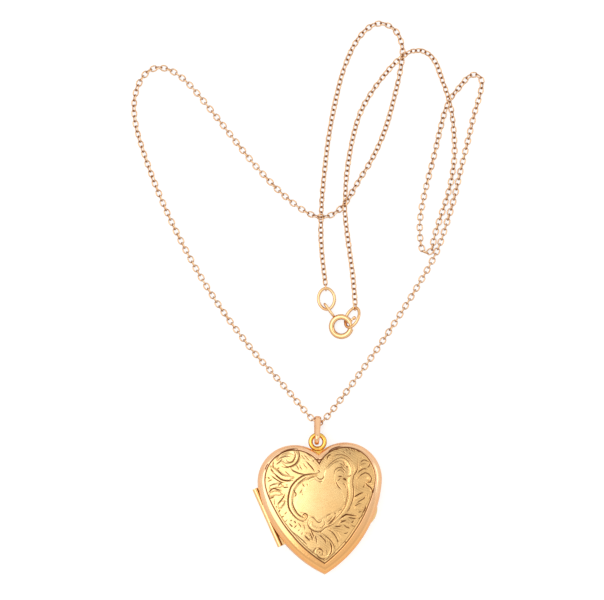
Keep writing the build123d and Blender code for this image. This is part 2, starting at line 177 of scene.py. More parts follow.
polished = gold("polished_gold", (0.99, 0.70, 0.34), (0.95, 0.60, 0.26))
# the sides tones below are painted shade and painted reflection on the steep faces
wire_gold = gold("gold_wire", (1.0, 0.68, 0.36), (0.96, 0.58, 0.27), roughness=(0.10, 0.20),
                 sides=(0.52, 0.25, 0.11))
bail_gold = gold("bail_gold", (1.0, 0.66, 0.40), (0.95, 0.56, 0.30), roughness=(0.10, 0.18),
                 sides=(0.78, 0.42, 0.24))
loop_gold = gold("loop_gold", (1.0, 0.68, 0.17), (0.92, 0.50, 0.09), roughness=(0.08, 0.16),
                 sides=(0.42, 0.17, 0.035))
# the chain's last tone is painted shade where its links meet
chain_gold = gold("chain_gold", (1.0, 0.70, 0.42), (0.90, 0.55, 0.30), roughness=(0.16, 0.28),
                  sides=(0.54, 0.27, 0.13), painted_shade_tone=(0.36, 0.15, 0.06))
inner_gold = gold("inner_gold", (0.99, 0.74, 0.40), (0.95, 0.66, 0.32), roughness=(0.2, 0.34))


def engraved_gold():
    """Rose rim that warms towards the tip, yellower engraved field, dark patina in the cuts, and painted
    shade: the field turns amber to the right and below, and darkens between the leaves, along the
    seam and behind the hinge.
    """
    material, tree, shader = new_material("engraved_gold")
    shader.inputs["Metallic"].default_value = 1.0
    tone = spread(tree, place_noise(tree, 420.0), 0.0, 1.0)
    rim = blend_colour(tree, attribute(tree, "warmth"), blend_colour(tree, tone, ROSE, ROSE_DEEP), ORANGE)
    yellow = blend_colour(tree, tone, YELLOW, YELLOW_DEEP)
    # painted shade: the field turns amber where the warmth attribute is high, to the right and below
    field = blend_colour(tree, attribute(tree, "warmth"), yellow, AMBER)
    metal = blend_colour(tree, attribute(tree, "field"), rim, field)
    # patina in the cuts, with painted shade between the leaves and on the wall at the seam and hinge
    tarnished_and_shaded = blend_colour(tree, attribute(tree, "tarnish_and_shade"), metal, TARNISH_AND_SHADE_TONE)
    tree.links.new(tarnished_and_shaded, shader.inputs["Base Color"])
    rubbed = place_noise(tree, 2600.0, detail=5.0)
    satin = node(tree, "ShaderNodeMath", operation="ADD")
    tree.links.new(spread(tree, rubbed, 0.12, 0.24), satin.inputs[0])
    tree.links.new(spread(tree, attribute(tree, "field"), 0.0, 0.08, 0.0, 1.0), satin.inputs[1])
    tree.links.new(satin.outputs["Value"], shader.inputs["Roughness"])
    scratched(tree, shader, 600.0, 0.2, 0.2)
    return material


def spring_steel():
    material, tree, shader = new_material("spring_steel")
    shader.inputs["Metallic"].default_value = 1.0
    tone = spread(tree, place_noise(tree, 3000.0), 0.0, 1.0)
    grey = blend_colour(tree, tone, (0.62, 0.61, 0.60), (0.42, 0.40, 0.38))
    tree.links.new(grey, shader.inputs["Base Color"])
    tree.links.new(spread(tree, place_noise(tree, 6000.0), 0.22, 0.36), shader.inputs["Roughness"])
    return material


def glazing():
    """Thin clear acrylic with faint rubbing, as a see-through pane."""
    material, tree, shader = new_material("clear_glazing")
    shader.inputs["Base Color"].default_value = (0.97, 0.98, 0.97, 1.0)
    shader.inputs["Alpha"].default_value = 0.16
    shader.inputs["IOR"].default_value = 1.49
    rubbed = place_noise(tree, 1800.0, detail=6.0)
    tree.links.new(spread(tree, rubbed, 0.03, 0.12), shader.inputs["Roughness"])
    tree.links.new(bump(tree, place_noise(tree, 300.0), 1.0e-5, 0.1), shader.inputs["Normal"])
    return material


def card():
    """Ivory card with fibres and a slightly yellowed tone."""
    material, tree, shader = new_material("photo_card")
    tone = spread(tree, place_noise(tree, 350.0, detail=6.0), 0.0, 1.0)
    ivory_tone = blend_colour(tree, tone, (0.87, 0.82, 0.70), (0.78, 0.71, 0.57))
    tree.links.new(ivory_tone, shader.inputs["Base Color"])
    fibres = place_noise(tree, 9000.0, detail=4.0, stretch=(0.3, 0.25))
    tree.links.new(spread(tree, fibres, 0.75, 0.95), shader.inputs["Roughness"])
    tree.links.new(bump(tree, fibres, 2.0e-5, 0.5), shader.inputs["Normal"])
    return material


NODE_MATERIALS = (
    (polished, ("back_cover", "thumb_lip",
                "hinge_knuckle_upper", "hinge_knuckle_middle", "hinge_knuckle_lower")),
    (inner_gold, ("catch_rim", "hinge_pin", "front_photo_frame", "back_photo_frame")),
    (loop_gold, ("suspension_loop", "loop_collar")),
    (bail_gold, ("bail_ring",)),
    (wire_gold, ("chain_end_link_left", "chain_end_link_right", "jump_ring_left", "jump_ring_right",
                 "bolt_ring_body", "bolt_ring_bolt", "bolt_ring_tail_loop")),
    (glazing(), ("front_glazing", "back_glazing")),
    (card(), ("front_photo_card", "back_photo_card")),
)
for material, names in NODE_MATERIALS:
    for name in names:
        NODES[name].data.materials.clear()
        NODES[name].data.materials.append(material)


def mesh_piece(name, points, faces, material, body, slot, *replaced):
    """A smooth mesh in millimetres that rides on a body and stands for CAD nodes."""
    mesh = bpy.data.meshes.new(name)
    mesh.from_pydata((np.asarray(points) * MM).tolist(), [], faces)
    mesh.polygons.foreach_set("use_smooth", [True] * len(mesh.polygons))
    mesh.materials.append(material)
    piece = placed(name, mesh)
    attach(piece, body)
    if replaced:
        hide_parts(*replaced)
    return piece


def mark(piece, name, values):
    """Gives each of a mesh's points a value that its material reads."""
    layer = piece.data.attributes.new(name, "FLOAT", "POINT")
    layer.data.foreach_set("value", np.asarray(values, np.float32))


def grid_faces(rows, columns, closed_rows=False, offset=0):
    """Quads of a rows by columns grid of points, closed along the columns."""
    faces = []
    for r in range(rows if closed_rows else rows - 1):
        a, b = offset + r * columns, offset + (r + 1) % rows * columns
        faces += [(a + c, a + (c + 1) % columns, b + (c + 1) % columns, b + c) for c in range(columns)]
    return faces


# ---- chain

CHAIN_DIAMETER = 1.1
FLOOR = CHAIN_DIAMETER / 2
CHAIN_ROUTE = [
    # up from the left jump ring, over the middle strand, into the tall loop
    (3.47, 45.08, 0.6), (3.1, 50.0, FLOOR), (3.05, 54.4, 0.7), (3.15, 57.2, 1.95), (3.4, 60.0, 1.95),
    (3.8, 63.0, 0.7), (4.5, 67.5, FLOOR), (5.6, 74.0, FLOOR), (7.3, 81.0, FLOOR), (9.4, 88.0, FLOOR),
    (12.5, 94.0, FLOOR), (16.4, 97.2, FLOOR), (20.2, 95.9, FLOOR), (21.8, 92.0, FLOOR),
    (21.0, 87.3, FLOOR), (19.3, 81.5, FLOOR), (17.2, 75.2, FLOOR), (14.3, 69.6, FLOOR),
    # across to the wide loop on the left and down to the bail
    (11.2, 65.3, FLOOR), (8.5, 61.0, FLOOR), (5.6, 58.6, FLOOR), (2.0, 58.4, FLOOR),
    (-3.4, 62.5, FLOOR), (-9.8, 70.0, FLOOR), (-16.8, 80.2, FLOOR), (-23.1, 88.7, FLOOR),
    (-28.3, 90.8, FLOOR), (-32.0, 87.4, FLOOR), (-33.3, 81.0, FLOOR), (-31.2, 72.0, FLOOR),
    (-27.2, 60.0, FLOOR), (-20.6, 45.8, FLOOR), (-12.7, 33.4, FLOOR), (-6.5, 25.8, FLOOR),
    (-3.1, 21.2, 1.1),
    # through the bail
    (-0.3, 17.45, 1.42), (1.1, 17.15, 1.42),
    # up to the narrow loop on the right
    (4.4, 20.8, 1.0), (7.2, 24.2, FLOOR), (11.8, 29.8, FLOOR), (17.4, 37.2, FLOOR),
    (22.3, 44.2, FLOOR), (26.4, 50.6, FLOOR), (28.3, 55.6, FLOOR), (30.2, 60.7, FLOOR),
    (31.8, 66.4, FLOOR), (33.6, 72.2, FLOOR), (35.3, 78.0, FLOOR), (36.9, 82.2, FLOOR),
    (37.2, 84.9, FLOOR), (35.0, 85.8, FLOOR), (32.6, 83.2, FLOOR), (29.9, 80.2, FLOOR),
    (28.2, 75.0, FLOOR), (26.5, 69.0, FLOOR), (24.4, 62.6, FLOOR), (23.0, 57.0, FLOOR),
    (22.9, 53.0, FLOOR),
    # round the small fold and back up beside the strand it came from
    (23.2, 50.4, FLOOR), (25.1, 50.2, FLOOR), (25.7, 53.3, FLOOR), (27.3, 57.4, FLOOR),
    (28.9, 61.4, FLOOR), (30.1, 65.4, FLOOR), (30.9, 70.0, FLOOR),
    # over the narrow loop, over the tall loop, over the middle strand
    (30.9, 75.0, 0.7), (30.6, 78.8, 1.95), (29.9, 81.9, 1.95), (29.0, 85.2, 0.75), (28.0, 88.8, FLOOR),
    (25.9, 90.9, 0.7), (22.9, 90.8, 1.95), (20.4, 89.2, 1.95), (17.6, 86.4, 0.75), (14.6, 82.8, FLOOR),
    (12.0, 78.6, FLOOR), (10.2, 72.9, FLOOR), (8.9, 67.0, 0.65), (8.3, 62.2, 1.95), (8.05, 59.2, 1.95),
    # down to the right jump ring
    (8.3, 55.6, 0.7), (8.7, 50.6, FLOOR), (9.1, 45.8, 0.7), (9.165, 40.85, 1.04),
]
LINK_PITCH = 1.05
LINK_HALF = (0.645, 0.535)         # half length and half width, to the wire's middle
LINK_WIRE = 0.13
TWIST = (                          # millimetres along the chain, degrees that its links are turned
    (0.0, 0.0), (30.0, 4.0), (60.0, -18.0), (95.0, 20.0), (130.0, 42.0), (165.0, 20.0), (190.0, 46.0),
    (215.0, 45.0), (240.0, 45.0), (265.0, 44.0), (290.0, 30.0), (320.0, 12.0), (345.0, 44.0), (375.0, 15.0),
    (400.0, -12.0), (430.0, 0.0), (460.0, 0.0))
LINK_ROUND, LINK_SIDES = 22, 8
LINK_SQUARENESS = 0.82              # 1 is an ellipse; less gives straighter sides and blunter ends
LINK_LOOK = 0.4                     # how far ahead and behind a link takes the chain's direction
LINK_DRIFT = 0.3                    # radians of uneven turning from link to link
# painted shade on the links: darker at their ends, where links meet, and on the wire's inner side
PAINTED_SHADE_ENDS, PAINTED_SHADE_INSIDE = 0.75, 0.45
FIRST_LINK, LAST_LINK = 0.37, 0.30  # from the route's two ends to the nearest link's middle


def smooth_line(route):
    """Points along the NURBS spline that has the route as its control points, in millimetres."""
    curve = bpy.data.curves.new("route", "CURVE")
    curve.dimensions = "3D"
    spline = curve.splines.new("NURBS")
    spline.points.add(len(route) - 1)
    for point, place in zip(spline.points, route):
        point.co = (*[value * MM for value in place], 1.0)
    spline.order_u = 3
    spline.use_endpoint_u = True
    spline.resolution_u = 16
    holder = placed("route", curve)
    mesh = bpy.data.meshes.new_from_object(holder)
    line = np.array([vertex.co for vertex in mesh.vertices]) / MM
    bpy.data.objects.remove(holder)
    bpy.data.meshes.remove(mesh)
    return line


def link_loop():
    """The wire's middle line round one link: its two long sides bow slightly outwards."""
    turn = np.arange(LINK_ROUND) * 2 * pi / LINK_ROUND
    along = np.sign(np.cos(turn)) * np.abs(np.cos(turn)) ** LINK_SQUARENESS * LINK_HALF[0]
    across = np.sign(np.sin(turn)) * np.abs(np.sin(turn)) ** LINK_SQUARENESS * LINK_HALF[1]
    return along, across


def chain_links():
    line = smooth_line(CHAIN_ROUTE)
    steps = np.linalg.norm(np.diff(line, axis=0), axis=1)
    run = np.concatenate([[0], np.cumsum(steps)])
    count = round((run[-1] - FIRST_LINK - LAST_LINK) / LINK_PITCH) + 1
    along, across = link_loop()
    points, faces, darkening = [], [], []
    side = np.arange(LINK_SIDES) * 2 * pi / LINK_SIDES
    # painted shade at the link ends and on the inner side of the wire
    near_end = np.clip((np.abs(along) / LINK_HALF[0] - 0.6) / 0.35, 0, 1) * PAINTED_SHADE_ENDS
    inward = np.clip(-np.cos(side), 0, 1) * PAINTED_SHADE_INSIDE
    for k, s in enumerate(np.linspace(FIRST_LINK, run[-1] - LAST_LINK, count)):
        centre = [np.interp(s, run, line[:, i]) for i in range(3)]
        ahead = [np.interp(s + LINK_LOOK, run, line[:, i]) for i in range(3)]
        behind = [np.interp(s - LINK_LOOK, run, line[:, i]) for i in range(3)]
        forward = (Vector(ahead) - Vector(behind)).normalized()
        level = Vector((-forward.y, forward.x, 0)).normalized()
        upward = forward.cross(level)
        drift = radians(np.interp(s, *zip(*TWIST))) + noise.noise(Vector((s * 0.9, 0, 7.7))) * LINK_DRIFT
        roll = (pi / 4 if k % 2 else -pi / 4) + drift
        wide = level * cos(roll) + upward * sin(roll)
        flat = forward.cross(wide)
        middle = [Vector(centre) + forward * a + wide * b for a, b in zip(along, across)]
        for i, place in enumerate(middle):
            tangent = (middle[(i + 1) % LINK_ROUND] - middle[i - 1]).normalized()
            outward = tangent.cross(flat)
            points += [place + (outward * cos(t) + flat * sin(t)) * LINK_WIRE for t in side]
        faces += grid_faces(LINK_ROUND, LINK_SIDES, True, k * LINK_ROUND * LINK_SIDES)
        darkening.append(np.maximum.outer(near_end, inward).ravel())
    return line, [tuple(p) for p in points], faces, np.concatenate(darkening)


chain_line, link_points, link_faces, link_painted_shade = chain_links()
chain = mesh_piece("chain_links", link_points, link_faces, chain_gold, "chain", "gold_wire", "chain")
# the links' painted shade, for their material to read
mark(chain, "tarnish_and_shade", link_painted_shade)


# ---- heart outline

LOBE_RADIUS, LOBE = 7.3, (5.1, 5.75)
FLANK_RADIUS, HANDOVER = 24.1, radians(-8.0)
FLANK = (LOBE[0] + (LOBE_RADIUS - FLANK_RADIUS) * cos(HANDOVER),
         LOBE[1] + (LOBE_RADIUS - FLANK_RADIUS) * sin(HANDOVER))
TIP_RADIUS = 0.9
TIP = (0.0, FLANK[1] - sqrt((FLANK_RADIUS - TIP_RADIUS) ** 2 - FLANK[0] ** 2))
TIP_TURN = atan2(TIP[1] - FLANK[1], -FLANK[0])
SEAM_Z, CROWN_Z, DOME_RADIUS = 3.1, 6.2, 70.0
SHEET, SHOULDER = 0.5, 1.2
HEART_MIDDLE = (0.0, 1.5)
LOBE_STEPS, FLANK_STEPS, TIP_STEPS = 200, 240, 8


def inset_of(x, y):
    """How far inside the heart outline a point lies."""
    x = np.abs(x)
    above = -(x - LOBE[0]) * sin(HANDOVER) + (y - LOBE[1]) * cos(HANDOVER) > 0
    depth = np.where(above, LOBE_RADIUS - np.hypot(x - LOBE[0], y - LOBE[1]),
                     FLANK_RADIUS - np.hypot(x - FLANK[0], y - FLANK[1]))
    in_tip = cos(TIP_TURN) * (y - TIP[1]) - sin(TIP_TURN) * x < 0
    return np.where(in_tip, TIP_RADIUS - np.hypot(x, y - TIP[1]), depth)


def outline(inset):
    """The closed outline moved inwards, from the notch down the right side and back up the left."""
    lobe = LOBE_RADIUS - inset
    turn = np.concatenate([
        np.linspace(acos(-LOBE[0] / lobe), HANDOVER, LOBE_STEPS, endpoint=False),
        np.linspace(HANDOVER, TIP_TURN, FLANK_STEPS, endpoint=False),
        np.linspace(TIP_TURN, -pi / 2, TIP_STEPS + 1)])
    part = np.repeat([0, 1, 2], [LOBE_STEPS, FLANK_STEPS, TIP_STEPS + 1])
    centre = np.array([LOBE, FLANK, TIP])[part]
    radius = np.array([lobe, FLANK_RADIUS - inset, TIP_RADIUS - inset])[part]
    x, y = centre[:, 0] + radius * np.cos(turn), centre[:, 1] + radius * np.sin(turn)
    x[0] = x[-1] = 0.0
    return np.concatenate([x, -x[-2:0:-1]]), np.concatenate([y, y[-2:0:-1]])


def dome(x, y):
    return CROWN_Z - DOME_RADIUS + np.sqrt(DOME_RADIUS**2 - x * x - y * y)


def shoulder_drop(inset, radius):
    """How far the rounded shoulder lies below the dome, at a distance in from the wall."""
    away = np.clip(radius - inset, 0, radius)
    return radius - np.sqrt(radius**2 - away**2)


# ---- engraving
# Strokes are lines over the front, in millimetres from the heart's origin.

CUTS = [
    # width, depth, points
    # -- curled leaf, upper left
    (0.34, 1.0, (-8.55, 10.6), (-7.95, 11.2), (-7.2, 11.7), (-6.3, 12.1), (-5.35, 12.2), (-4.3, 12.3)),
    (0.3, 0.9, (-4.3, 12.3), (-3.95, 11.8), (-3.85, 11.2), (-3.95, 10.55), (-4.25, 9.7), (-4.9, 9.05),
     (-5.9, 8.65), (-6.9, 8.6), (-7.4, 8.85)),
    (0.26, 0.8, (-4.9, 11.9), (-4.65, 11.15), (-4.75, 10.6), (-5.2, 9.75), (-5.6, 9.55), (-6.05, 9.6),
     (-6.35, 9.8), (-6.5, 10.1)),
    (0.22, 0.5, (-7.8, 10.9), (-7.1, 11.3), (-6.3, 11.5), (-5.5, 11.5)),
    (0.22, 0.4, (-7.9, 10.35), (-7.3, 10.7), (-6.5, 10.85), (-5.6, 10.8)),
    (0.24, 0.6, (-8.6, 9.3), (-8.1, 9.6), (-7.6, 10.0), (-7.3, 10.4)),
    (0.24, 0.7, (-9.05, 10.0), (-9.25, 9.3), (-9.1, 8.6)),
    # -- left edge leaves
    (0.3, 0.9, (-10.9, 8.3), (-10.65, 9.0), (-10.35, 9.4), (-10.1, 9.7)),
    (0.3, 0.9, (-9.75, 8.45), (-9.45, 8.05), (-9.2, 7.7)),
    (0.3, 1.0, (-9.2, 7.7), (-8.85, 7.25), (-8.35, 6.7), (-7.85, 6.25), (-7.25, 6.0), (-6.6, 5.9),
     (-5.9, 5.85), (-5.4, 5.95)),
    (0.26, 0.9, (-8.5, 8.35), (-8.1, 7.8), (-7.7, 7.3), (-7.35, 7.05), (-7.0, 7.0)),
    (0.22, 0.6, (-8.4, 8.4), (-8.0, 8.65)),
    (0.22, 0.5, (-6.9, 7.9), (-6.5, 7.4), (-6.0, 7.05)),
    (0.26, 0.8, (-9.8, 7.2), (-9.25, 6.75), (-8.75, 6.3), (-8.2, 5.9), (-7.6, 5.6), (-7.1, 5.55)),
    (0.22, 0.8, (-7.75, 5.55), (-8.15, 5.35), (-8.45, 4.95)),
    (0.2, 0.7, (-11.0, 7.1), (-10.7, 6.75)), (0.24, 0.8, (-10.4, 6.9), (-10.05, 6.5)),
    (0.2, 0.6, (-10.5, 5.95), (-10.0, 6.15), (-9.5, 6.4)),
    (0.24, 0.6, (-10.35, 5.0), (-9.8, 5.25), (-9.15, 5.4), (-8.6, 5.4)),
    (0.26, 0.9, (-10.55, 3.65), (-10.05, 4.15), (-9.5, 4.55), (-9.0, 4.45), (-8.5, 4.2), (-7.8, 4.1)),
    (0.26, 0.9, (-10.4, 2.6), (-9.95, 2.65), (-9.35, 2.85)),
    (0.2, 0.5, (-9.4, 2.5), (-9.4, 1.9), (-9.35, 1.1)), (0.2, 0.5, (-10.0, 2.2), (-9.95, 1.6), (-9.7, 0.9)),
    (0.24, 0.8, (-8.9, 1.25), (-8.4, 1.75), (-7.8, 2.3), (-7.5, 2.7), (-7.2, 3.3)),
    (0.26, 0.7, (-7.45, 4.65), (-7.0, 4.6), (-6.4, 4.65)),
    (0.2, 0.5, (-6.9, 5.2), (-6.7, 5.0), (-6.55, 5.2)),
    (0.24, 0.9, (-8.55, -0.3), (-8.5, 0.05), (-8.25, 0.2)), (0.24, 0.9, (-8.15, -1.35), (-7.65, -1.1)),
    (0.2, 0.6, (-7.5, -0.75), (-7.2, -0.55), (-7.0, -0.3)),
    (0.2, 0.5, (-7.6, -2.4), (-7.25, -2.1), (-6.95, -1.85)),
    (0.24, 0.7, (-9.05, 0.95), (-8.95, 0.7)), (0.2, 0.5, (-7.9, 0.9), (-7.5, 1.4), (-7.2, 2.0)),
    # -- great C scroll round the plain shield
    (0.32, 1.0, (0.1, 7.35), (-0.65, 7.05), (-1.65, 7.05), (-2.45, 6.95), (-3.0, 6.9), (-3.55, 6.7),
     (-4.1, 6.35), (-4.65, 6.0), (-5.2, 5.5), (-5.7, 4.95), (-6.0, 4.5), (-6.3, 3.7), (-6.5, 3.0),
     (-6.65, 2.2), (-6.7, 1.3), (-6.6, 0.5), (-6.3, -0.25), (-5.9, -0.85), (-5.55, -1.3), (-5.0, -1.85),
     (-4.45, -2.2), (-3.8, -2.45)),
    (0.28, 0.9, (-5.7, 2.2), (-5.8, 1.6), (-5.75, 1.0), (-5.55, 0.35), (-5.2, -0.3), (-4.85, -0.9),
     (-4.3, -1.4), (-3.8, -1.55)),
    (0.2, 0.8, (-3.8, -1.55), (-3.95, -1.2), (-3.6, -0.8), (-3.2, -0.85), (-2.95, -1.25), (-3.05, -1.7),
     (-3.4, -2.0)),
    (0.22, 0.5, (-0.8, 6.4), (-1.6, 6.35), (-2.2, 6.1), (-2.7, 5.75)),
    (0.3, 0.5, (-2.4, 6.5), (-3.1, 6.2), (-3.7, 5.8), (-4.3, 5.35), (-4.8, 4.9)),
    (0.26, 0.8, (-5.25, 4.3), (-5.4, 3.95), (-5.3, 3.6), (-4.95, 3.25), (-5.05, 2.85), (-5.35, 2.6)),
    (0.22, 0.7, (-3.55, 5.2), (-3.45, 4.8), (-3.2, 4.55)), (0.2, 0.6, (-2.7, 5.15), (-2.6, 4.75)),
    (0.22, 0.6, (-3.7, 4.05), (-3.95, 3.6), (-4.25, 3.4)), (0.26, 0.6, (-3.75, 3.05), (-3.65, 3.0)),
    # -- leaf between the curl and the notch
    (0.28, 0.9, (-2.6, 9.6), (-2.15, 9.05), (-1.7, 8.5), (-1.35, 8.0), (-1.0, 7.45)),
    (0.28, 0.8, (-5.7, 8.4), (-5.4, 7.9), (-4.9, 7.6), (-4.3, 7.3), (-3.7, 7.1), (-2.9, 7.0)),
    (0.24, 0.5, (-4.6, 9.1), (-4.4, 8.6), (-4.1, 8.0)),
    (0.22, 0.5, (-3.9, 8.95), (-3.8, 8.4), (-3.45, 7.95)),
    (0.2, 0.4, (-3.2, 9.3), (-2.9, 8.7), (-2.4, 8.1)), (0.3, 0.8, (-1.2, 9.7), (-1.1, 9.5)),
    (0.22, 0.6, (-3.6, 11.85), (-2.9, 11.6), (-2.3, 11.2), (-1.8, 10.7), (-1.35, 10.25)),
    (0.2, 0.4, (-3.5, 11.0), (-3.1, 10.4), (-2.7, 9.9)),
    (0.2, 0.4, (-2.9, 11.0), (-2.4, 10.3), (-1.9, 9.7)),
    # -- notch and pendant drop
    (0.36, 1.0, (-0.85, 9.85), (0.0, 9.75), (1.0, 9.95)), (0.24, 0.7, (-0.35, 7.7), (0.1, 7.35)),
    (0.24, 0.6, (-0.8, 6.55), (-0.5, 6.1), (-0.05, 5.8), (0.4, 5.9), (0.7, 6.2), (0.75, 6.65)),
    (0.22, 0.4, (-0.5, 5.6), (0.0, 5.35), (0.5, 5.5)),
    # -- field edge, top of the right lobe
    (0.28, 0.9, (1.65, 9.7), (1.65, 10.15), (1.95, 10.55), (2.5, 10.75)),
    (0.28, 0.9, (1.6, 10.7), (1.85, 11.05), (2.2, 11.45), (2.8, 11.85), (3.5, 12.05), (4.15, 12.2),
     (4.8, 12.25)),
    (0.22, 0.7, (2.1, 11.2), (2.85, 11.6), (3.5, 11.65), (4.1, 11.6)),
    (0.2, 0.5, (5.4, 11.6), (5.9, 11.2)), (0.2, 0.6, (5.9, 11.9), (6.4, 11.3)),
    (0.2, 0.6, (6.5, 11.8), (6.9, 11.1)),
    (0.2, 0.5, (7.0, 11.6), (7.3, 11.0)), (0.2, 0.5, (4.9, 11.3), (5.3, 10.9)),
    (0.2, 0.6, (6.1, 10.9), (6.5, 10.6)),
    (0.26, 0.9, (7.55, 11.4), (8.2, 10.9)), (0.22, 0.6, (8.75, 10.9), (8.85, 10.4)),
    (0.24, 0.7, (8.5, 10.15), (8.35, 9.6)),
    # -- fan of the flower head and its curl
    (0.2, 0.6, (0.9, 7.7), (1.6, 8.35), (2.25, 8.95), (2.9, 9.4), (3.55, 9.75), (4.2, 9.95), (4.8, 9.9),
     (5.35, 9.6), (5.8, 9.15), (6.15, 8.55), (6.3, 7.85), (6.35, 7.05)),
    (0.18, 0.4, (1.3, 7.6), (1.95, 8.2), (2.6, 8.75), (3.3, 9.15), (4.0, 9.35), (4.6, 9.25)),
    (0.2, 0.4, (2.6, 10.2), (3.5, 10.6), (4.5, 10.6), (5.4, 10.3), (6.2, 9.7), (6.7, 8.9)),
    (0.22, 0.6, (4.0, 8.85), (4.4, 8.65), (4.85, 8.3), (5.05, 7.9)), (0.2, 0.5, (4.25, 8.35), (4.7, 7.95)),
    (0.22, 0.6, (4.7, 9.1), (5.0, 8.7), (5.2, 8.25)), (0.3, 1.0, (5.35, 8.2), (5.6, 7.9)),
    (0.22, 0.6, (2.85, 6.05), (2.8, 6.8), (3.0, 7.45), (3.4, 7.85), (3.95, 8.05), (4.55, 7.9), (4.95, 7.45),
     (5.2, 7.05), (5.45, 6.9)),
    (0.2, 0.5, (3.4, 6.85), (3.6, 7.35), (4.05, 7.6), (4.5, 7.4), (4.8, 7.0), (4.9, 6.5), (4.6, 6.2)),
    (0.26, 0.8, (3.55, 6.25), (4.0, 6.2), (4.4, 6.15)), (0.22, 0.6, (5.4, 6.15), (5.95, 6.2), (6.3, 6.4)),
    (0.32, 1.3, (4.55, 5.75), (4.85, 5.65), (5.25, 5.35)), (0.2, 0.5, (3.4, 5.25), (3.7, 5.6), (4.1, 5.8)),
    (0.28, 0.8, (3.0, 5.5), (3.2, 4.8), (3.45, 4.3), (3.75, 3.9), (4.15, 3.55)),
    (0.24, 0.8, (4.45, 4.85), (4.75, 4.6), (4.9, 4.3), (5.0, 3.8)), (0.2, 0.4, (5.6, 4.9), (5.75, 4.6)),
    # -- right scroll band
    (0.26, 0.7, (7.75, 9.6), (7.7, 8.85), (7.6, 8.1), (7.6, 7.6), (7.35, 7.05), (7.1, 6.7), (6.75, 6.35),
     (6.6, 5.95), (6.5, 5.5), (6.4, 4.6), (6.45, 3.7), (6.5, 3.0), (6.45, 2.2), (6.2, 1.3), (5.8, 0.5),
     (5.3, -0.3), (4.85, -1.0)),
    (0.2, 0.6, (5.25, 5.0), (5.3, 3.8), (5.3, 2.9), (5.15, 2.0), (4.9, 1.15), (4.6, 0.3), (4.2, -0.5),
     (3.7, -1.15), (3.1, -1.75), (2.5, -2.3), (1.8, -2.95), (1.2, -3.5)),
    (0.18, 0.5, (5.5, 4.4), (5.6, 3.4), (5.55, 2.4), (5.3, 1.5), (4.95, 0.6), (4.5, -0.3), (3.9, -1.1)),
    (0.24, 0.8, (7.5, 6.65), (7.85, 7.0), (8.35, 7.3), (8.8, 7.5), (9.1, 7.5), (9.6, 7.35)),
    # -- leaves and volute, right lobe
    (0.24, 0.7, (8.15, 8.7), (8.5, 9.1), (9.0, 9.3), (9.5, 9.1), (10.05, 8.8)),
    (0.24, 0.7, (10.2, 8.7), (10.05, 8.2), (9.8, 7.85), (9.5, 7.7)),
    (0.2, 0.6, (9.65, 9.7), (10.05, 9.15)), (0.2, 0.4, (8.3, 8.3), (8.8, 8.6), (9.4, 8.4)),
    (0.26, 0.8, (7.4, 5.4), (7.7, 5.85), (8.2, 6.3), (8.65, 6.55), (9.1, 6.7), (9.55, 6.5), (9.95, 6.15),
     (10.2, 5.7), (10.25, 5.25), (10.05, 4.85), (9.75, 4.65), (9.5, 4.8), (9.45, 5.1), (9.65, 5.25),
     (9.8, 5.1)),
    (0.3, 1.0, (8.85, 4.75), (9.1, 4.45), (9.4, 4.1), (9.75, 3.8), (10.1, 3.5), (10.25, 3.15), (10.3, 2.6),
     (10.1, 2.1)),
    (0.24, 0.7, (8.8, 4.4), (8.65, 4.0), (8.35, 3.7)), (0.2, 0.5, (7.2, 4.9), (7.1, 4.2), (7.3, 3.5)),
    (0.28, 0.9, (6.5, 1.9), (7.0, 2.2), (7.45, 2.45), (7.9, 2.65), (8.45, 2.8)),
    (0.26, 0.7, (8.9, 2.25), (8.75, 1.8), (8.45, 1.55), (8.0, 1.3), (7.45, 1.0), (6.9, 0.65)),
    (0.2, 0.5, (9.3, 2.4), (9.25, 1.7)), (0.2, 0.5, (9.8, 2.0), (9.6, 1.3)),
    (0.22, 0.6, (6.4, 0.0), (6.9, 0.35), (7.45, 0.6), (8.0, 0.5)),
    (0.2, 0.5, (5.8, 0.0), (5.35, -0.45), (5.0, -0.9)),
    # -- leaf cluster, lower right
    (0.28, 0.9, (8.85, 0.15), (8.7, -0.45), (8.35, -1.0), (8.0, -1.35)),
    (0.22, 0.7, (8.2, -1.55), (7.85, -1.95), (7.45, -2.3), (7.05, -2.5)),
    (0.22, 0.6, (7.25, -1.15), (7.85, -1.0)),
    (0.32, 1.1, (6.75, -1.8), (6.0, -1.7), (5.35, -1.55), (4.85, -1.45), (4.35, -1.6), (3.85, -1.95),
     (3.25, -2.4)),
    (0.26, 0.9, (6.7, -2.35), (6.15, -2.3), (5.6, -2.15), (5.05, -2.1)),
    (0.26, 0.9, (6.2, -2.75), (5.95, -3.05), (5.65, -3.1)),
    (0.28, 0.8, (4.6, -2.6), (4.1, -2.75), (3.65, -2.95), (3.45, -3.2)),
    (0.24, 0.8, (2.3, -3.7), (2.9, -3.8), (3.75, -3.65)),
    (0.24, 0.7, (4.15, -3.45), (4.55, -3.9), (4.95, -4.1), (5.4, -4.25)),
    (0.22, 0.6, (4.05, -5.2), (4.55, -5.2), (5.05, -5.0)),
    (0.24, 0.8, (4.25, -6.75), (4.4, -7.2)), (0.2, 0.5, (5.6, -3.6), (6.1, -3.9), (6.5, -3.8)),
    # -- shield foot, stems and the bottom scroll
    (0.24, 0.7, (-2.7, -2.1), (-3.0, -2.6), (-3.0, -3.2), (-2.7, -3.8), (-2.2, -4.25), (-1.6, -4.5),
     (-1.05, -4.65),
     (-0.5, -4.6), (-0.05, -4.3), (0.35, -3.95), (0.8, -3.7), (1.35, -3.5), (1.95, -3.3), (2.5, -3.05)),
    (0.22, 0.6, (-2.55, -1.9), (-2.25, -1.65), (-1.9, -1.7), (-1.55, -2.0), (-1.25, -2.45), (-0.9, -2.75),
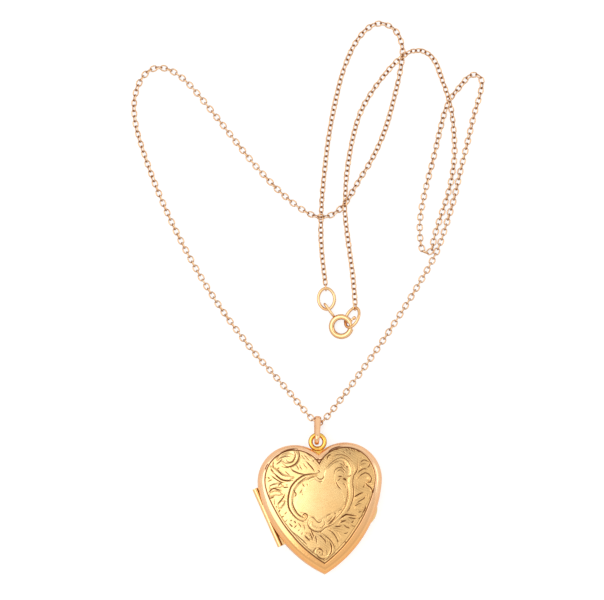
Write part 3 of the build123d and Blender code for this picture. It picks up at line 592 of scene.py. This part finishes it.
     (-0.6, -2.8), (-0.2, -2.55), (0.0, -2.0)),
    (0.22, 0.5, (-1.2, -4.0), (-0.6, -3.9), (0.0, -3.6), (0.4, -3.3), (0.45, -2.8), (0.2, -2.3)),
    (0.2, 0.6, (0.85, -2.0), (0.9, -1.55), (1.3, -1.3), (1.9, -1.15)), (0.3, 1.0, (2.5, -1.0), (2.6, -1.3)),
    (0.2, 0.5, (3.25, -0.95), (3.4, -0.6), (3.7, -0.4), (4.1, -0.3)),
    (0.24, 0.8, (1.0, -3.3), (1.5, -2.9), (2.05, -2.4), (2.5, -1.9), (2.7, -1.5)),
    (0.2, 0.6, (0.8, -2.9), (1.2, -2.6), (1.7, -2.1), (2.1, -1.7)),
    (0.24, 0.7, (-2.7, -4.55), (-2.5, -5.25), (-2.25, -5.85), (-2.15, -6.3)),
    (0.26, 0.8, (-2.45, -4.1), (-2.3, -4.6), (-2.1, -5.1), (-1.9, -5.65)),
    (0.24, 0.8, (-3.75, -5.2), (-3.45, -5.6), (-3.1, -6.0), (-2.7, -6.3)),
    (0.22, 0.7, (-4.15, -4.55), (-4.3, -5.0)),
    (0.24, 0.6, (-1.7, -5.3), (-1.5, -5.85), (-1.4, -6.45), (-1.45, -7.0)),
    (0.26, 0.8, (-0.95, -5.15), (-0.45, -5.55), (-0.05, -6.05), (0.3, -6.5), (0.45, -7.1)),
    (0.24, 0.8, (-0.3, -4.95), (0.3, -5.45), (0.95, -6.0), (1.5, -6.65), (1.85, -7.25), (2.05, -7.9),
     (2.15, -8.45)),
    (0.3, 1.0, (1.15, -6.6), (1.3, -7.05), (1.45, -7.5), (1.5, -7.95), (1.45, -8.5), (1.3, -8.95),
     (1.0, -9.35),
     (0.7, -9.7)),
    (0.24, 0.7, (0.95, -4.3), (1.4, -4.55), (1.85, -4.9), (2.2, -5.35), (2.5, -5.9), (2.7, -6.4),
     (2.85, -7.0),
     (2.9, -7.65)),
    (0.22, 0.6, (-1.35, -7.65), (-1.8, -7.95), (-2.15, -8.4), (-2.35, -8.9)),
    (0.24, 0.8, (-1.2, -7.65), (-0.85, -7.95), (-0.4, -8.2)), (0.36, 1.1, (-0.95, -8.7), (-0.85, -8.75)),
    (0.22, 0.6, (-1.45, -8.5), (-1.2, -8.15), (-0.7, -8.1), (-0.3, -8.45), (-0.25, -8.95), (-0.55, -9.3),
     (-1.0, -9.3)),
    (0.24, 0.7, (-1.55, -8.75), (-1.45, -9.3), (-1.2, -9.75), (-0.7, -10.0), (-0.15, -10.05), (0.3, -9.85)),
    (0.22, 0.5, (0.4, -8.2), (0.6, -8.8), (0.45, -9.4)),
    # -- sprigs, lower left
    (0.24, 0.8, (-6.65, -2.65), (-6.3, -3.1), (-6.0, -3.35)), (0.24, 0.9, (-5.65, -2.2), (-5.35, -2.65)),
    (0.22, 0.8, (-5.7, -3.55), (-5.25, -3.1)), (0.24, 0.8, (-6.4, -2.1), (-6.1, -2.05)),
    (0.2, 0.5, (-4.9, -2.6), (-4.5, -3.1), (-4.3, -3.7)),
    (0.2, 0.5, (-3.9, -3.0), (-3.6, -3.6), (-3.6, -4.2)),
    (0.2, 0.5, (-5.0, -4.2), (-4.6, -4.0)), (0.2, 0.5, (-3.4, -4.6), (-3.2, -5.1)),
    # -- double line along the lower left edge
    (0.22, 0.6, (-6.95, -3.65), (-6.1, -4.4), (-5.2, -5.15), (-4.3, -6.0), (-3.55, -6.8), (-3.1, -7.5)),
]

RIDGES = [
    # width, height, points
    (0.85, 1.0, (-0.7, 6.75), (-2.3, 6.6), (-3.6, 6.2), (-4.7, 5.4), (-5.6, 4.3), (-6.0, 3.2), (-6.2, 2.1),
     (-6.25, 1.1), (-6.05, 0.2), (-5.6, -0.7), (-4.9, -1.4), (-4.1, -1.95), (-3.4, -1.95), (-3.1, -1.4),
     (-3.5, -1.05)),
    (1.0, 0.9, (1.3, 8.2), (2.4, 9.2), (3.6, 9.9), (4.9, 9.9), (5.9, 9.0), (6.6, 7.7), (6.3, 6.4),
     (5.95, 5.2),
     (5.9, 3.8), (5.9, 2.6), (5.6, 1.4), (5.2, 0.3), (4.6, -0.7), (3.7, -1.5), (2.8, -2.3), (1.9, -3.1),
     (0.9, -3.7)),
    (0.9, 0.9, (-9.7, 8.9), (-9.0, 8.0), (-8.2, 7.3), (-7.4, 6.7), (-6.4, 6.4), (-5.4, 6.5)),
    (0.9, 1.0, (-8.3, 10.2), (-7.6, 11.1), (-6.4, 11.75), (-5.2, 11.8), (-4.35, 11.1), (-4.35, 10.2),
     (-4.95, 9.4),
     (-5.8, 9.05), (-6.8, 9.15), (-7.3, 9.7)),
    (0.8, 0.9, (7.5, 5.7), (8.2, 6.15), (9.0, 6.4), (9.65, 6.1), (9.95, 5.4), (9.7, 5.0)),
    (0.8, 0.8, (9.2, 4.7), (9.9, 4.1), (10.45, 3.3), (10.5, 2.5)),
    (0.8, 0.8, (8.2, 7.5), (8.8, 8.0), (9.5, 8.3), (10.0, 8.5)),
    (0.8, 0.9, (-0.6, -4.9), (0.3, -5.5), (1.2, -6.3), (1.75, -7.3), (1.8, -8.3), (1.4, -9.2), (0.6, -9.8),
     (-0.4, -9.75), (-1.2, -9.3), (-1.75, -8.6), (-1.5, -7.9), (-0.9, -7.7)),
    (0.9, 0.8, (1.4, -4.2), (2.3, -4.9), (2.9, -5.8), (3.3, -6.9)),
    (0.9, 0.9, (3.6, -2.5), (4.6, -2.0), (5.6, -1.9), (6.8, -2.1)),
    (0.8, 0.8, (3.2, -3.3), (4.2, -3.1), (5.0, -3.6), (5.6, -3.7)),
    (0.8, 0.8, (6.7, 1.4), (7.4, 1.8), (8.2, 2.2), (8.6, 2.4)),
    (0.8, 0.8, (6.6, 0.1), (7.3, -0.3), (8.0, -0.5)),
    (0.8, 0.8, (-10.2, 4.6), (-9.4, 5.0), (-8.5, 5.2), (-7.6, 4.9)),
    (0.8, 0.8, (-10.3, 3.1), (-9.5, 3.6), (-8.7, 3.6), (-7.9, 3.3)),
    (0.8, 0.8, (-8.6, 0.6), (-8.0, 1.3), (-7.4, 1.8)),
    (0.8, 0.8, (-2.2, -2.6), (-2.4, -3.3), (-1.7, -4.0), (-0.8, -4.2), (-0.2, -3.7)),
    (0.7, 0.7, (-3.6, -4.7), (-3.0, -5.4), (-2.5, -5.9)),
]

SHIELD = [
    (0.1, 5.0), (-1.2, 6.0), (-2.4, 5.4), (-3.1, 4.6), (-3.4, 3.6), (-4.7, 3.0), (-4.9, 2.0), (-5.3, 1.2),
    (-5.0, 0.2),
    (-4.4, -0.6), (-3.6, -0.6), (-2.6, -1.3), (-1.6, -1.6), (-0.8, -2.3), (0.2, -1.9), (1.0, -1.2),
    (2.3, -0.9),
    (3.2, -0.3), (4.1, 0.2), (4.6, 1.2), (4.4, 2.4), (3.9, 3.4), (3.1, 4.3), (2.8, 5.4), (2.75, 6.8),
    (3.1, 7.7),
    (3.6, 8.6), (3.3, 9.1), (2.6, 8.75), (1.9, 8.2), (1.2, 7.6), (0.9, 6.9), (0.7, 5.9),
]
RIM_WIDTH = (                           # y, width of the plain rim there
    (-13.0, 1.6), (-9.0, 1.85), (-5.0, 1.95), (0.0, 1.7), (4.0, 1.3), (8.0, 1.2), (11.0, 1.0), (13.0, 0.9))
CUT_DEPTH, RIDGE_HEIGHT, GROUND_DEPTH, VEIN_DEPTH = 0.10, 0.15, 0.05, 0.015
VEIN_SPACING, VEIN_SLANT = 0.55, 1.1
HATCH_SPACING = 0.45
RIDGE_SHARE, CUT_SHARE = 0.62, 0.56     # half a stroke's shaped width, as a share of its width
EDGE_LINE, INNER_LINE = (0.12, 0.17, 0.75), (0.55, 0.12, 0.45)  # distance in, half width, depth
CUT_TARNISH, VEIN_TARNISH, HATCH_TARNISH = 2.0, 0.35, 0.06
# strength of the painted shade between the leaves, plain and over the hatching
PAINTED_SHADE_STRENGTH, PAINTED_SHADE_HATCH_STRENGTH = 0.35, 0.65
CELL = 0.03
SHADES = [
    # x, y, radius, strength of the painted shade: soft darker patches in the ground between the leaves
    (-7.0, 10.6, 1.9, 0.4), (-5.0, 8.0, 1.2, 0.3), (-2.6, 10.6, 1.4, 0.3), (0.0, 9.4, 1.2, 0.55),
    (3.5, 11.2, 2.2, 0.38), (6.3, 11.0, 1.6, 0.42), (5.0, 7.5, 1.1, 0.4), (4.6, 5.6, 0.9, 0.4),
    (7.9, 8.2, 1.2, 0.32), (7.5, 3.6, 1.0, 0.38), (9.5, 3.4, 0.8, 0.25), (-8.3, 7.6, 1.0, 0.4),
    (-9.9, 6.2, 0.9, 0.3), (-7.6, 2.6, 1.1, 0.45), (-8.0, 4.5, 0.8, 0.32), (-9.6, 3.9, 0.7, 0.25),
    (-6.2, -2.6, 1.1, 0.28), (5.2, -2.6, 1.2, 0.38), (2.6, -4.4, 1.3, 0.45), (-1.6, -5.6, 1.2, 0.42),
    (0.4, -7.4, 1.2, 0.38), (-2.3, -8.2, 0.8, 0.32), (-3.5, -5.8, 0.9, 0.34), (8.0, -0.6, 0.9, 0.32),
    (1.6, -2.6, 0.6, 0.4), (-3.9, -2.9, 0.9, 0.25),
]
FIELD_LOW, FIELD_HIGH = (-12.5, -13.2), (12.5, 13.2)


def distance_to(points, x, y):
    """Distance of grid points to a polyline, and how far along it the nearest place is, from 0 to 1."""
    points = np.array(points, float)
    lengths = np.hypot(*np.diff(points, axis=0).T)
    starts = np.concatenate([[0], np.cumsum(lengths)])
    best, along = np.full(x.shape, 1e9), np.zeros(x.shape)
    for (ax, ay), (bx, by), start, length in zip(points, points[1:], starts, lengths):
        t = np.clip(((x - ax) * (bx - ax) + (y - ay) * (by - ay)) / length**2, 0, 1)
        d = np.hypot(x - ax - t * (bx - ax), y - ay - t * (by - ay))
        nearer = d < best
        best, along = np.where(nearer, d, best), np.where(nearer, (start + t * length) / starts[-1], along)
    return best, along


def rounded(points, passes=2):
    """Cuts the corners off a line, keeping its two ends."""
    points = np.array(points, float)
    for _ in range(passes):
        if len(points) < 3:
            break
        inner = np.empty((2 * len(points) - 2, 2))
        inner[0::2] = points[:-1] * 0.75 + points[1:] * 0.25
        inner[1::2] = points[:-1] * 0.25 + points[1:] * 0.75
        points = np.vstack([points[:1], inner[1:-1], points[-1:]])
    return points


def patch(points, reach, xs, ys):
    """Slices of the grid that a stroke can touch."""
    low, high = points.min(0) - reach, points.max(0) + reach
    cols = slice(*np.searchsorted(xs, (low[0], high[0])))
    rows = slice(*np.searchsorted(ys, (low[1], high[1])))
    return rows, cols


def inside(polygon, x, y):
    found = np.zeros(x.shape, bool)
    for (ax, ay), (bx, by) in zip(polygon, polygon[1:] + polygon[:1]):
        if ay != by:
            found ^= ((ay > y) != (by > y)) & (x < (bx - ax) * (y - ay) / (by - ay) + ax)
    return found


def softened(values, times):
    """Small blur of a grid."""
    for _ in range(times):
        padded = np.pad(values, 1, mode="edge")
        values = (padded[:-2, 1:-1] + padded[2:, 1:-1] + padded[1:-1, :-2] + padded[1:-1, 2:]
                  + 4 * padded[1:-1, 1:-1]) / 8
    return values


def relief():
    """Height, darkening and field masks of the engraved front, as grids over its outline. The darkening
    is patina in the cuts and painted shade in the ground between the leaves.
    """
    xs, ys = (np.arange(FIELD_LOW[i], FIELD_HIGH[i], CELL) for i in (0, 1))
    x, y = np.meshgrid(xs, ys)
    inset = inset_of(x, y)
    rim_width = np.interp(y, *zip(*RIM_WIDTH))
    field = np.clip((inset - rim_width) / 0.15, 0, 1)
    raised, cut, veins = np.zeros(x.shape), np.zeros(x.shape), np.zeros(x.shape)
    for width, height, *points in RIDGES:
        points = rounded(points)
        where = patch(points, width, xs, ys)
        d, along = distance_to(points, x[where], y[where])
        taper = np.clip(np.minimum(along, 1 - along) / 0.15, 0.35, 1)
        half = width * taper * RIDGE_SHARE
        bulge = np.clip(1 - (d / half) ** 2, 0, 1) ** 0.7 * height
        raised[where] = np.maximum(raised[where], bulge)
        run = along * np.hypot(*np.diff(points, axis=0).T).sum()
        stroke = np.clip(np.cos((run - d * VEIN_SLANT) * 2 * pi / VEIN_SPACING) * 2 - 1, 0, 1)
        veins[where] = np.maximum(veins[where], stroke * ((d > half * 0.35) & (d < half * 1.25)))
    for width, depth, *points in CUTS:
        points = rounded(points)
        where = patch(points, width, xs, ys)
        d, along = distance_to(points, x[where], y[where])
        taper = np.clip(np.minimum(along, 1 - along) / 0.22, 0.3, 1) ** 0.6
        notch = np.clip(1 - d / (width * taper * CUT_SHARE), 0, 1) * depth * taper
        cut[where] = np.maximum(cut[where], notch)
    edge, second = (np.clip(1 - np.abs(inset - rim_width - distance) / half_width, 0, 1)
                    for distance, half_width, _ in (EDGE_LINE, INNER_LINE))
    second = second * np.clip((2.0 - y) / 3, 0.15, 1)
    cut = np.maximum(cut, np.maximum(edge * EDGE_LINE[2], second * INNER_LINE[2]))
    shield = softened(inside(SHIELD, x, y).astype(float), 8)
    ground = np.clip(1 - raised * 2.2, 0, 1) * (1 - shield) * field
    away = np.clip(inset - rim_width, 0, 1) * (1 - shield) * field
    veins = softened(veins, 1) * away
    hatch = np.clip(np.sin((x * 0.5 + y * 0.87 + 0.25 * np.sin(x)) * 2 * pi / HATCH_SPACING), 0, 1) * ground
    height = (raised * RIDGE_HEIGHT * (1 - shield) - ground * GROUND_DEPTH) * field
    height -= cut * CUT_DEPTH + veins * VEIN_DEPTH
    # painted shade: soft dark patches in the ground between the leaves, weaker on the raised leaves
    shade = sum(strength * np.exp(-((x - px)**2 + (y - py)**2) / radius**2)
                for px, py, radius, strength in SHADES)
    shade *= (1 - shield) * field * (1 - 0.6 * raised)
    tarnish_and_shade = np.clip(cut * CUT_TARNISH + veins * VEIN_TARNISH
                      + shade * (PAINTED_SHADE_STRENGTH + PAINTED_SHADE_HATCH_STRENGTH * hatch) + hatch * HATCH_TARNISH, 0, 1)
    return xs, ys, softened(height, 1), softened(tarnish_and_shade, 1), field


def sample(grid, xs, ys, x, y):
    """Bilinear reading of a grid at points."""
    u = np.clip((x - xs[0]) / CELL, 0, len(xs) - 1.001)
    v = np.clip((y - ys[0]) / CELL, 0, len(ys) - 1.001)
    i, j = u.astype(int), v.astype(int)
    a, b = u - i, v - j
    return ((grid[j, i] * (1 - a) + grid[j, i + 1] * a) * (1 - b)
            + (grid[j + 1, i] * (1 - a) + grid[j + 1, i + 1] * a) * b)


# ---- front cover

HINGE_AT = Vector((-10.8071, -1.1031, SEAM_Z))
HINGE_ALONG = Vector((0.353475, -0.935444, 0.0))
HINGE_INWARD = Vector((0.935444, 0.353475, 0.0))
HINGE_REACH = 6.38
POCKET_RADIUS = 0.62
POCKET_DEEPEST = 0.47
SHOULDER_RINGS, WALL_RINGS, DOME_RINGS, INNER_RINGS = 16, 12, 185, 14
EDGE_ROUND = 0.10
# painted shade on the wall: a dark line along the seam, and the groove behind the hinge
SEAM_PAINTED_SHADE, HINGE_PAINTED_SHADE = 0.8, 0.85
CORE_INSET = 0.85


def from_hinge(points, direction):
    """How far points lie from the hinge's middle, in one direction."""
    return (points - np.array(HINGE_AT)) @ np.array(direction)


def pocketed(points):
    """Moves wall points out of the groove that the hinge tubes lie in."""
    across = from_hinge(points, HINGE_INWARD)
    along = from_hinge(points, HINGE_ALONG)
    up = points[:, 2] - SEAM_Z
    away = np.hypot(across, up)
    hit = (np.abs(along) < HINGE_REACH) & (away < POCKET_RADIUS)
    grow = POCKET_RADIUS / np.maximum(away, 1e-6)
    new_across = np.minimum(across * grow, np.maximum(POCKET_DEEPEST, across))
    moved = points + np.outer(np.where(hit, new_across - across, 0), HINGE_INWARD)
    moved[:, 2] += np.where(hit, up * grow - up, 0)
    return moved


def core_ring(share):
    """The outline moved in by CORE_INSET, then shrunk towards the heart's middle."""
    x, y = outline(CORE_INSET)
    return (HEART_MIDDLE[0] + (x - HEART_MIDDLE[0]) * share,
            HEART_MIDDLE[1] + (y - HEART_MIDDLE[1]) * share)


def front_rings():
    """Rings of (x, y, z) from the outer crown, over the wall and lip, to the inner crown."""
    rings = []
    for share in np.linspace(0, 1, DOME_RINGS + 1)[1:-1]:
        x, y = core_ring(share)
        rings.append(("outer", x, y, dome(x, y) - shoulder_drop(inset_of(x, y), SHOULDER)))
    start = np.arcsin((SHOULDER - CORE_INSET) / SHOULDER)
    for turn in np.linspace(start, pi / 2, SHOULDER_RINGS):
        inset = SHOULDER * (1 - sin(turn))
        x, y = outline(inset)
        rings.append(("outer", x, y, dome(x, y) - SHOULDER * (1 - cos(turn))))
    top = rings[-1][3]
    x, y = outline(0.0)
    for share in np.linspace(0, 1, WALL_RINGS)[1:]:
        rings.append(("wall", x, y, top + (SEAM_Z + EDGE_ROUND - top) * share))
    for turn in np.linspace(0, pi / 2, 5)[1:]:
        x, y = outline(EDGE_ROUND * (1 - cos(turn)))
        rings.append(("wall", x, y, np.full(x.shape, SEAM_Z + EDGE_ROUND * (1 - sin(turn)))))
    x, y = outline(SHEET - 0.05)
    rings.append(("inner", x, y, np.full(x.shape, SEAM_Z)))
    x, y = outline(SHEET)
    inner_top = dome(x, y) - SHOULDER
    for share in (0.0, 0.5, 1.0):
        rings.append(("inner", x, y, SEAM_Z + 0.05 + (inner_top - SEAM_Z - 0.05) * share))
    inner_radius = SHOULDER - SHEET
    for turn in np.linspace(pi / 2, np.arcsin((inner_radius - CORE_INSET + SHEET) / inner_radius), 6)[1:]:
        x, y = outline(SHEET + inner_radius * (1 - sin(turn)))
        rings.append(("inner", x, y, dome(x, y) - SHEET - inner_radius * (1 - cos(turn))))
    for share in np.linspace(1, 0, INNER_RINGS + 1)[1:-1]:
        x, y = core_ring(share)
        inner_drop = shoulder_drop(inset_of(x, y) - SHEET, inner_radius)
        rings.append(("inner", x, y, dome(x, y) - SHEET - inner_drop))
    return rings


def front_cover():
    rings = front_rings()
    columns = len(rings[0][1])
    points = np.vstack([np.column_stack([x, y, z]) for _, x, y, z in rings])
    kinds = np.repeat([kind for kind, *_ in rings], columns)
    xs, ys, height, tarnish_and_shade, field = relief()
    outer = kinds == "outer"
    x, y = points[:, 0], points[:, 1]
    points[:, 2] += np.where(outer, sample(height, xs, ys, x, y), 0)
    # painted shade: the wall darkens near the seam and in the groove behind the hinge
    near_seam = np.clip((SEAM_Z + 0.35 - points[:, 2]) / 0.2, 0, 1)
    behind_hinge = (np.abs(from_hinge(points, HINGE_ALONG)) < HINGE_REACH) & (x < 0)
    wall_painted_shade = (kinds == "wall") * np.maximum(near_seam * SEAM_PAINTED_SHADE, behind_hinge * HINGE_PAINTED_SHADE)
    darkening = np.where(outer, sample(tarnish_and_shade, xs, ys, x, y), wall_painted_shade)
    yellow = np.where(outer, sample(field, xs, ys, x, y), np.where(kinds == "inner", 0.6, 0))
    # on the field, painted shade: amber towards the right and bottom, where less light falls. The rim warms
    # towards the tip.
    warm = np.where(yellow > 0.5, np.clip(0.25 + 0.07 * x - 0.03 * y, 0, 0.9), np.clip((3.0 - y) / 10, 0, 1))
    points = np.where((kinds == "wall")[:, None], pocketed(points), points)
    crown = np.array([[*HEART_MIDDLE, dome(*HEART_MIDDLE)], [*HEART_MIDDLE, dome(*HEART_MIDDLE) - SHEET]])
    total = len(points)
    faces = grid_faces(len(rings), columns)
    faces += [(total, (c + 1) % columns, c) for c in range(columns)]
    last = total - columns
    faces += [(total + 1, last + c, last + (c + 1) % columns) for c in range(columns)]
    faces = [face[::-1] for face in faces]
    piece = mesh_piece("front_cover_engraved", np.vstack([points, crown]), faces, engraved_gold(),
                       "locket_front", "engraved_gold", "front_cover")
    for name, values in (("tarnish_and_shade", darkening), ("field", yellow), ("warmth", warm)):
        mark(piece, name, np.append(values, [values[0], 0.6]))
    return piece


front_cover()


# ---- clasp spring

CLASP_AT = Vector((6.13, 36.35, 0.935))
CLASP_RISE, CLASP_TOWARDS = radians(10.8), radians(30.0)
CLASP_RADIUS = 1.95
SPRING_SPAN = (radians(84.0), radians(142.0))   # round the ring, from the direction it is tilted up in
SPRING_COILS, SPRING_COIL_RADIUS, SPRING_WIRE = 13, 0.30, 0.045
SPRING_STEPS, SPRING_SIDES = 20, 6


def spring():
    """Coil spring bent along the bolt ring, inside its tube."""
    uphill = Vector((cos(CLASP_TOWARDS) * cos(CLASP_RISE), sin(CLASP_TOWARDS) * cos(CLASP_RISE),
                     sin(CLASP_RISE)))
    level = Vector((-sin(CLASP_TOWARDS), cos(CLASP_TOWARDS), 0))
    axis = uphill.cross(level)
    middle = []
    for step in range(SPRING_COILS * SPRING_STEPS + 1):
        share = step / (SPRING_COILS * SPRING_STEPS)
        bend = SPRING_SPAN[0] + (SPRING_SPAN[1] - SPRING_SPAN[0]) * share
        outward = uphill * cos(bend) + level * sin(bend)
        coil = share * SPRING_COILS * 2 * pi
        middle.append(CLASP_AT + outward * (CLASP_RADIUS + SPRING_COIL_RADIUS * cos(coil))
                      + axis * SPRING_COIL_RADIUS * sin(coil))
    points = []
    for i, place in enumerate(middle):
        tangent = (middle[min(i + 1, len(middle) - 1)] - middle[max(i - 1, 0)]).normalized()
        first = tangent.cross(axis).normalized()
        second = tangent.cross(first)
        points += [tuple(place + (first * cos(t) + second * sin(t)) * SPRING_WIRE)
                   for t in np.arange(SPRING_SIDES) * 2 * pi / SPRING_SIDES]
    faces = grid_faces(len(middle), SPRING_SIDES)
    last = len(points) - 1
    faces += [tuple(range(SPRING_SIDES)), tuple(range(last, last - SPRING_SIDES, -1))]
    return mesh_piece("bolt_ring_coil_spring", points, faces, spring_steel(), "clasp", "spring_steel",
                      "bolt_ring_spring")


spring()


# ---- floor, lights

FLOOR_HALF, FLOOR_Z = 2.5, -1e-5
AIM = Vector((0, 0.04, 0))              # what the lights face, near the necklace's middle
ROOM_LEVELS = ((0.0, 0.84), (0.3, 1.0), (0.6, 0.80), (0.85, 0.72), (0.97, 0.86), (1.0, 0.86))
ROOM_TINT = (1.0, 0.98, 0.95)


def floor():
    material, tree, shader = new_material("pale_floor")
    tone = spread(tree, place_noise(tree, 6.0, detail=2.0), 0.0, 1.0)
    pale = blend_colour(tree, tone, (0.42, 0.42, 0.42), (0.45, 0.45, 0.45))
    seen = node(tree, "ShaderNodeLightPath").outputs["Is Camera Ray"]
    tree.links.new(blend_colour(tree, seen, (0.88, 0.79, 0.72), pale), shader.inputs["Base Color"])
    tree.links.new(spread(tree, seen, 0.0, 0.70, 0.0, 1.0), shader.inputs["Emission Strength"])
    shader.inputs["Emission Color"].default_value = (1.0, 1.0, 1.0, 1.0)
    shader.inputs["Roughness"].default_value = 0.9
    shader.inputs["Specular IOR Level"].default_value = 0.1
    mesh = bpy.data.meshes.new("floor")
    corners = [(x * FLOOR_HALF, y * FLOOR_HALF, FLOOR_Z) for x, y in ((-1, -1), (1, -1), (1, 1), (-1, 1))]
    mesh.from_pydata(corners, [], [(0, 1, 2, 3)])
    mesh.materials.append(material)
    piece = placed("floor", mesh)


def softbox(name, towards, distance, size, power):
    """A square area light that faces the necklace from a direction."""
    light = bpy.data.lights.new(name, "AREA")
    light.shape, light.size, light.energy = "SQUARE", size, power
    holder = placed(name, light)
    direction = Vector(towards).normalized()
    holder.location = AIM + direction * distance
    holder.rotation_mode = "QUATERNION"
    holder.rotation_quaternion = direction.to_track_quat("Z", "Y")


def studio():
    """Bright room, brightest just above the horizon and a little dimmer higher up."""
    world = bpy.data.worlds.new("studio")
    bpy.context.scene.world = world
    world.use_nodes = True
    tree = world.node_tree
    where = node(tree, "ShaderNodeTexCoord").outputs["Generated"]
    split = node(tree, "ShaderNodeSeparateXYZ")
    tree.links.new(where, split.inputs["Vector"])
    ramp = node(tree, "ShaderNodeValToRGB")
    ramp.color_ramp.elements.remove(ramp.color_ramp.elements[1])
    for i, (at, level) in enumerate(ROOM_LEVELS):
        stop = ramp.color_ramp.elements[0] if i == 0 else ramp.color_ramp.elements.new(at)
        stop.position, stop.color = at, (*[level * tint for tint in ROOM_TINT], 1.0)
    tree.links.new(split.outputs["Z"], ramp.inputs["Fac"])
    shade = tree.nodes["Background"]
    tree.links.new(ramp.outputs["Color"], shade.inputs["Color"])
    shade.inputs["Strength"].default_value = 1.0


floor()
studio()
softbox("key_left", towards=(-0.48, 0.12, 1.0), distance=1.2, size=1.0, power=4.2)
softbox("fill_right", towards=(1.1, 0.3, 1.0), distance=1.4, size=0.5, power=1.0)
bpy.context.scene.view_settings.view_transform = "Standard"
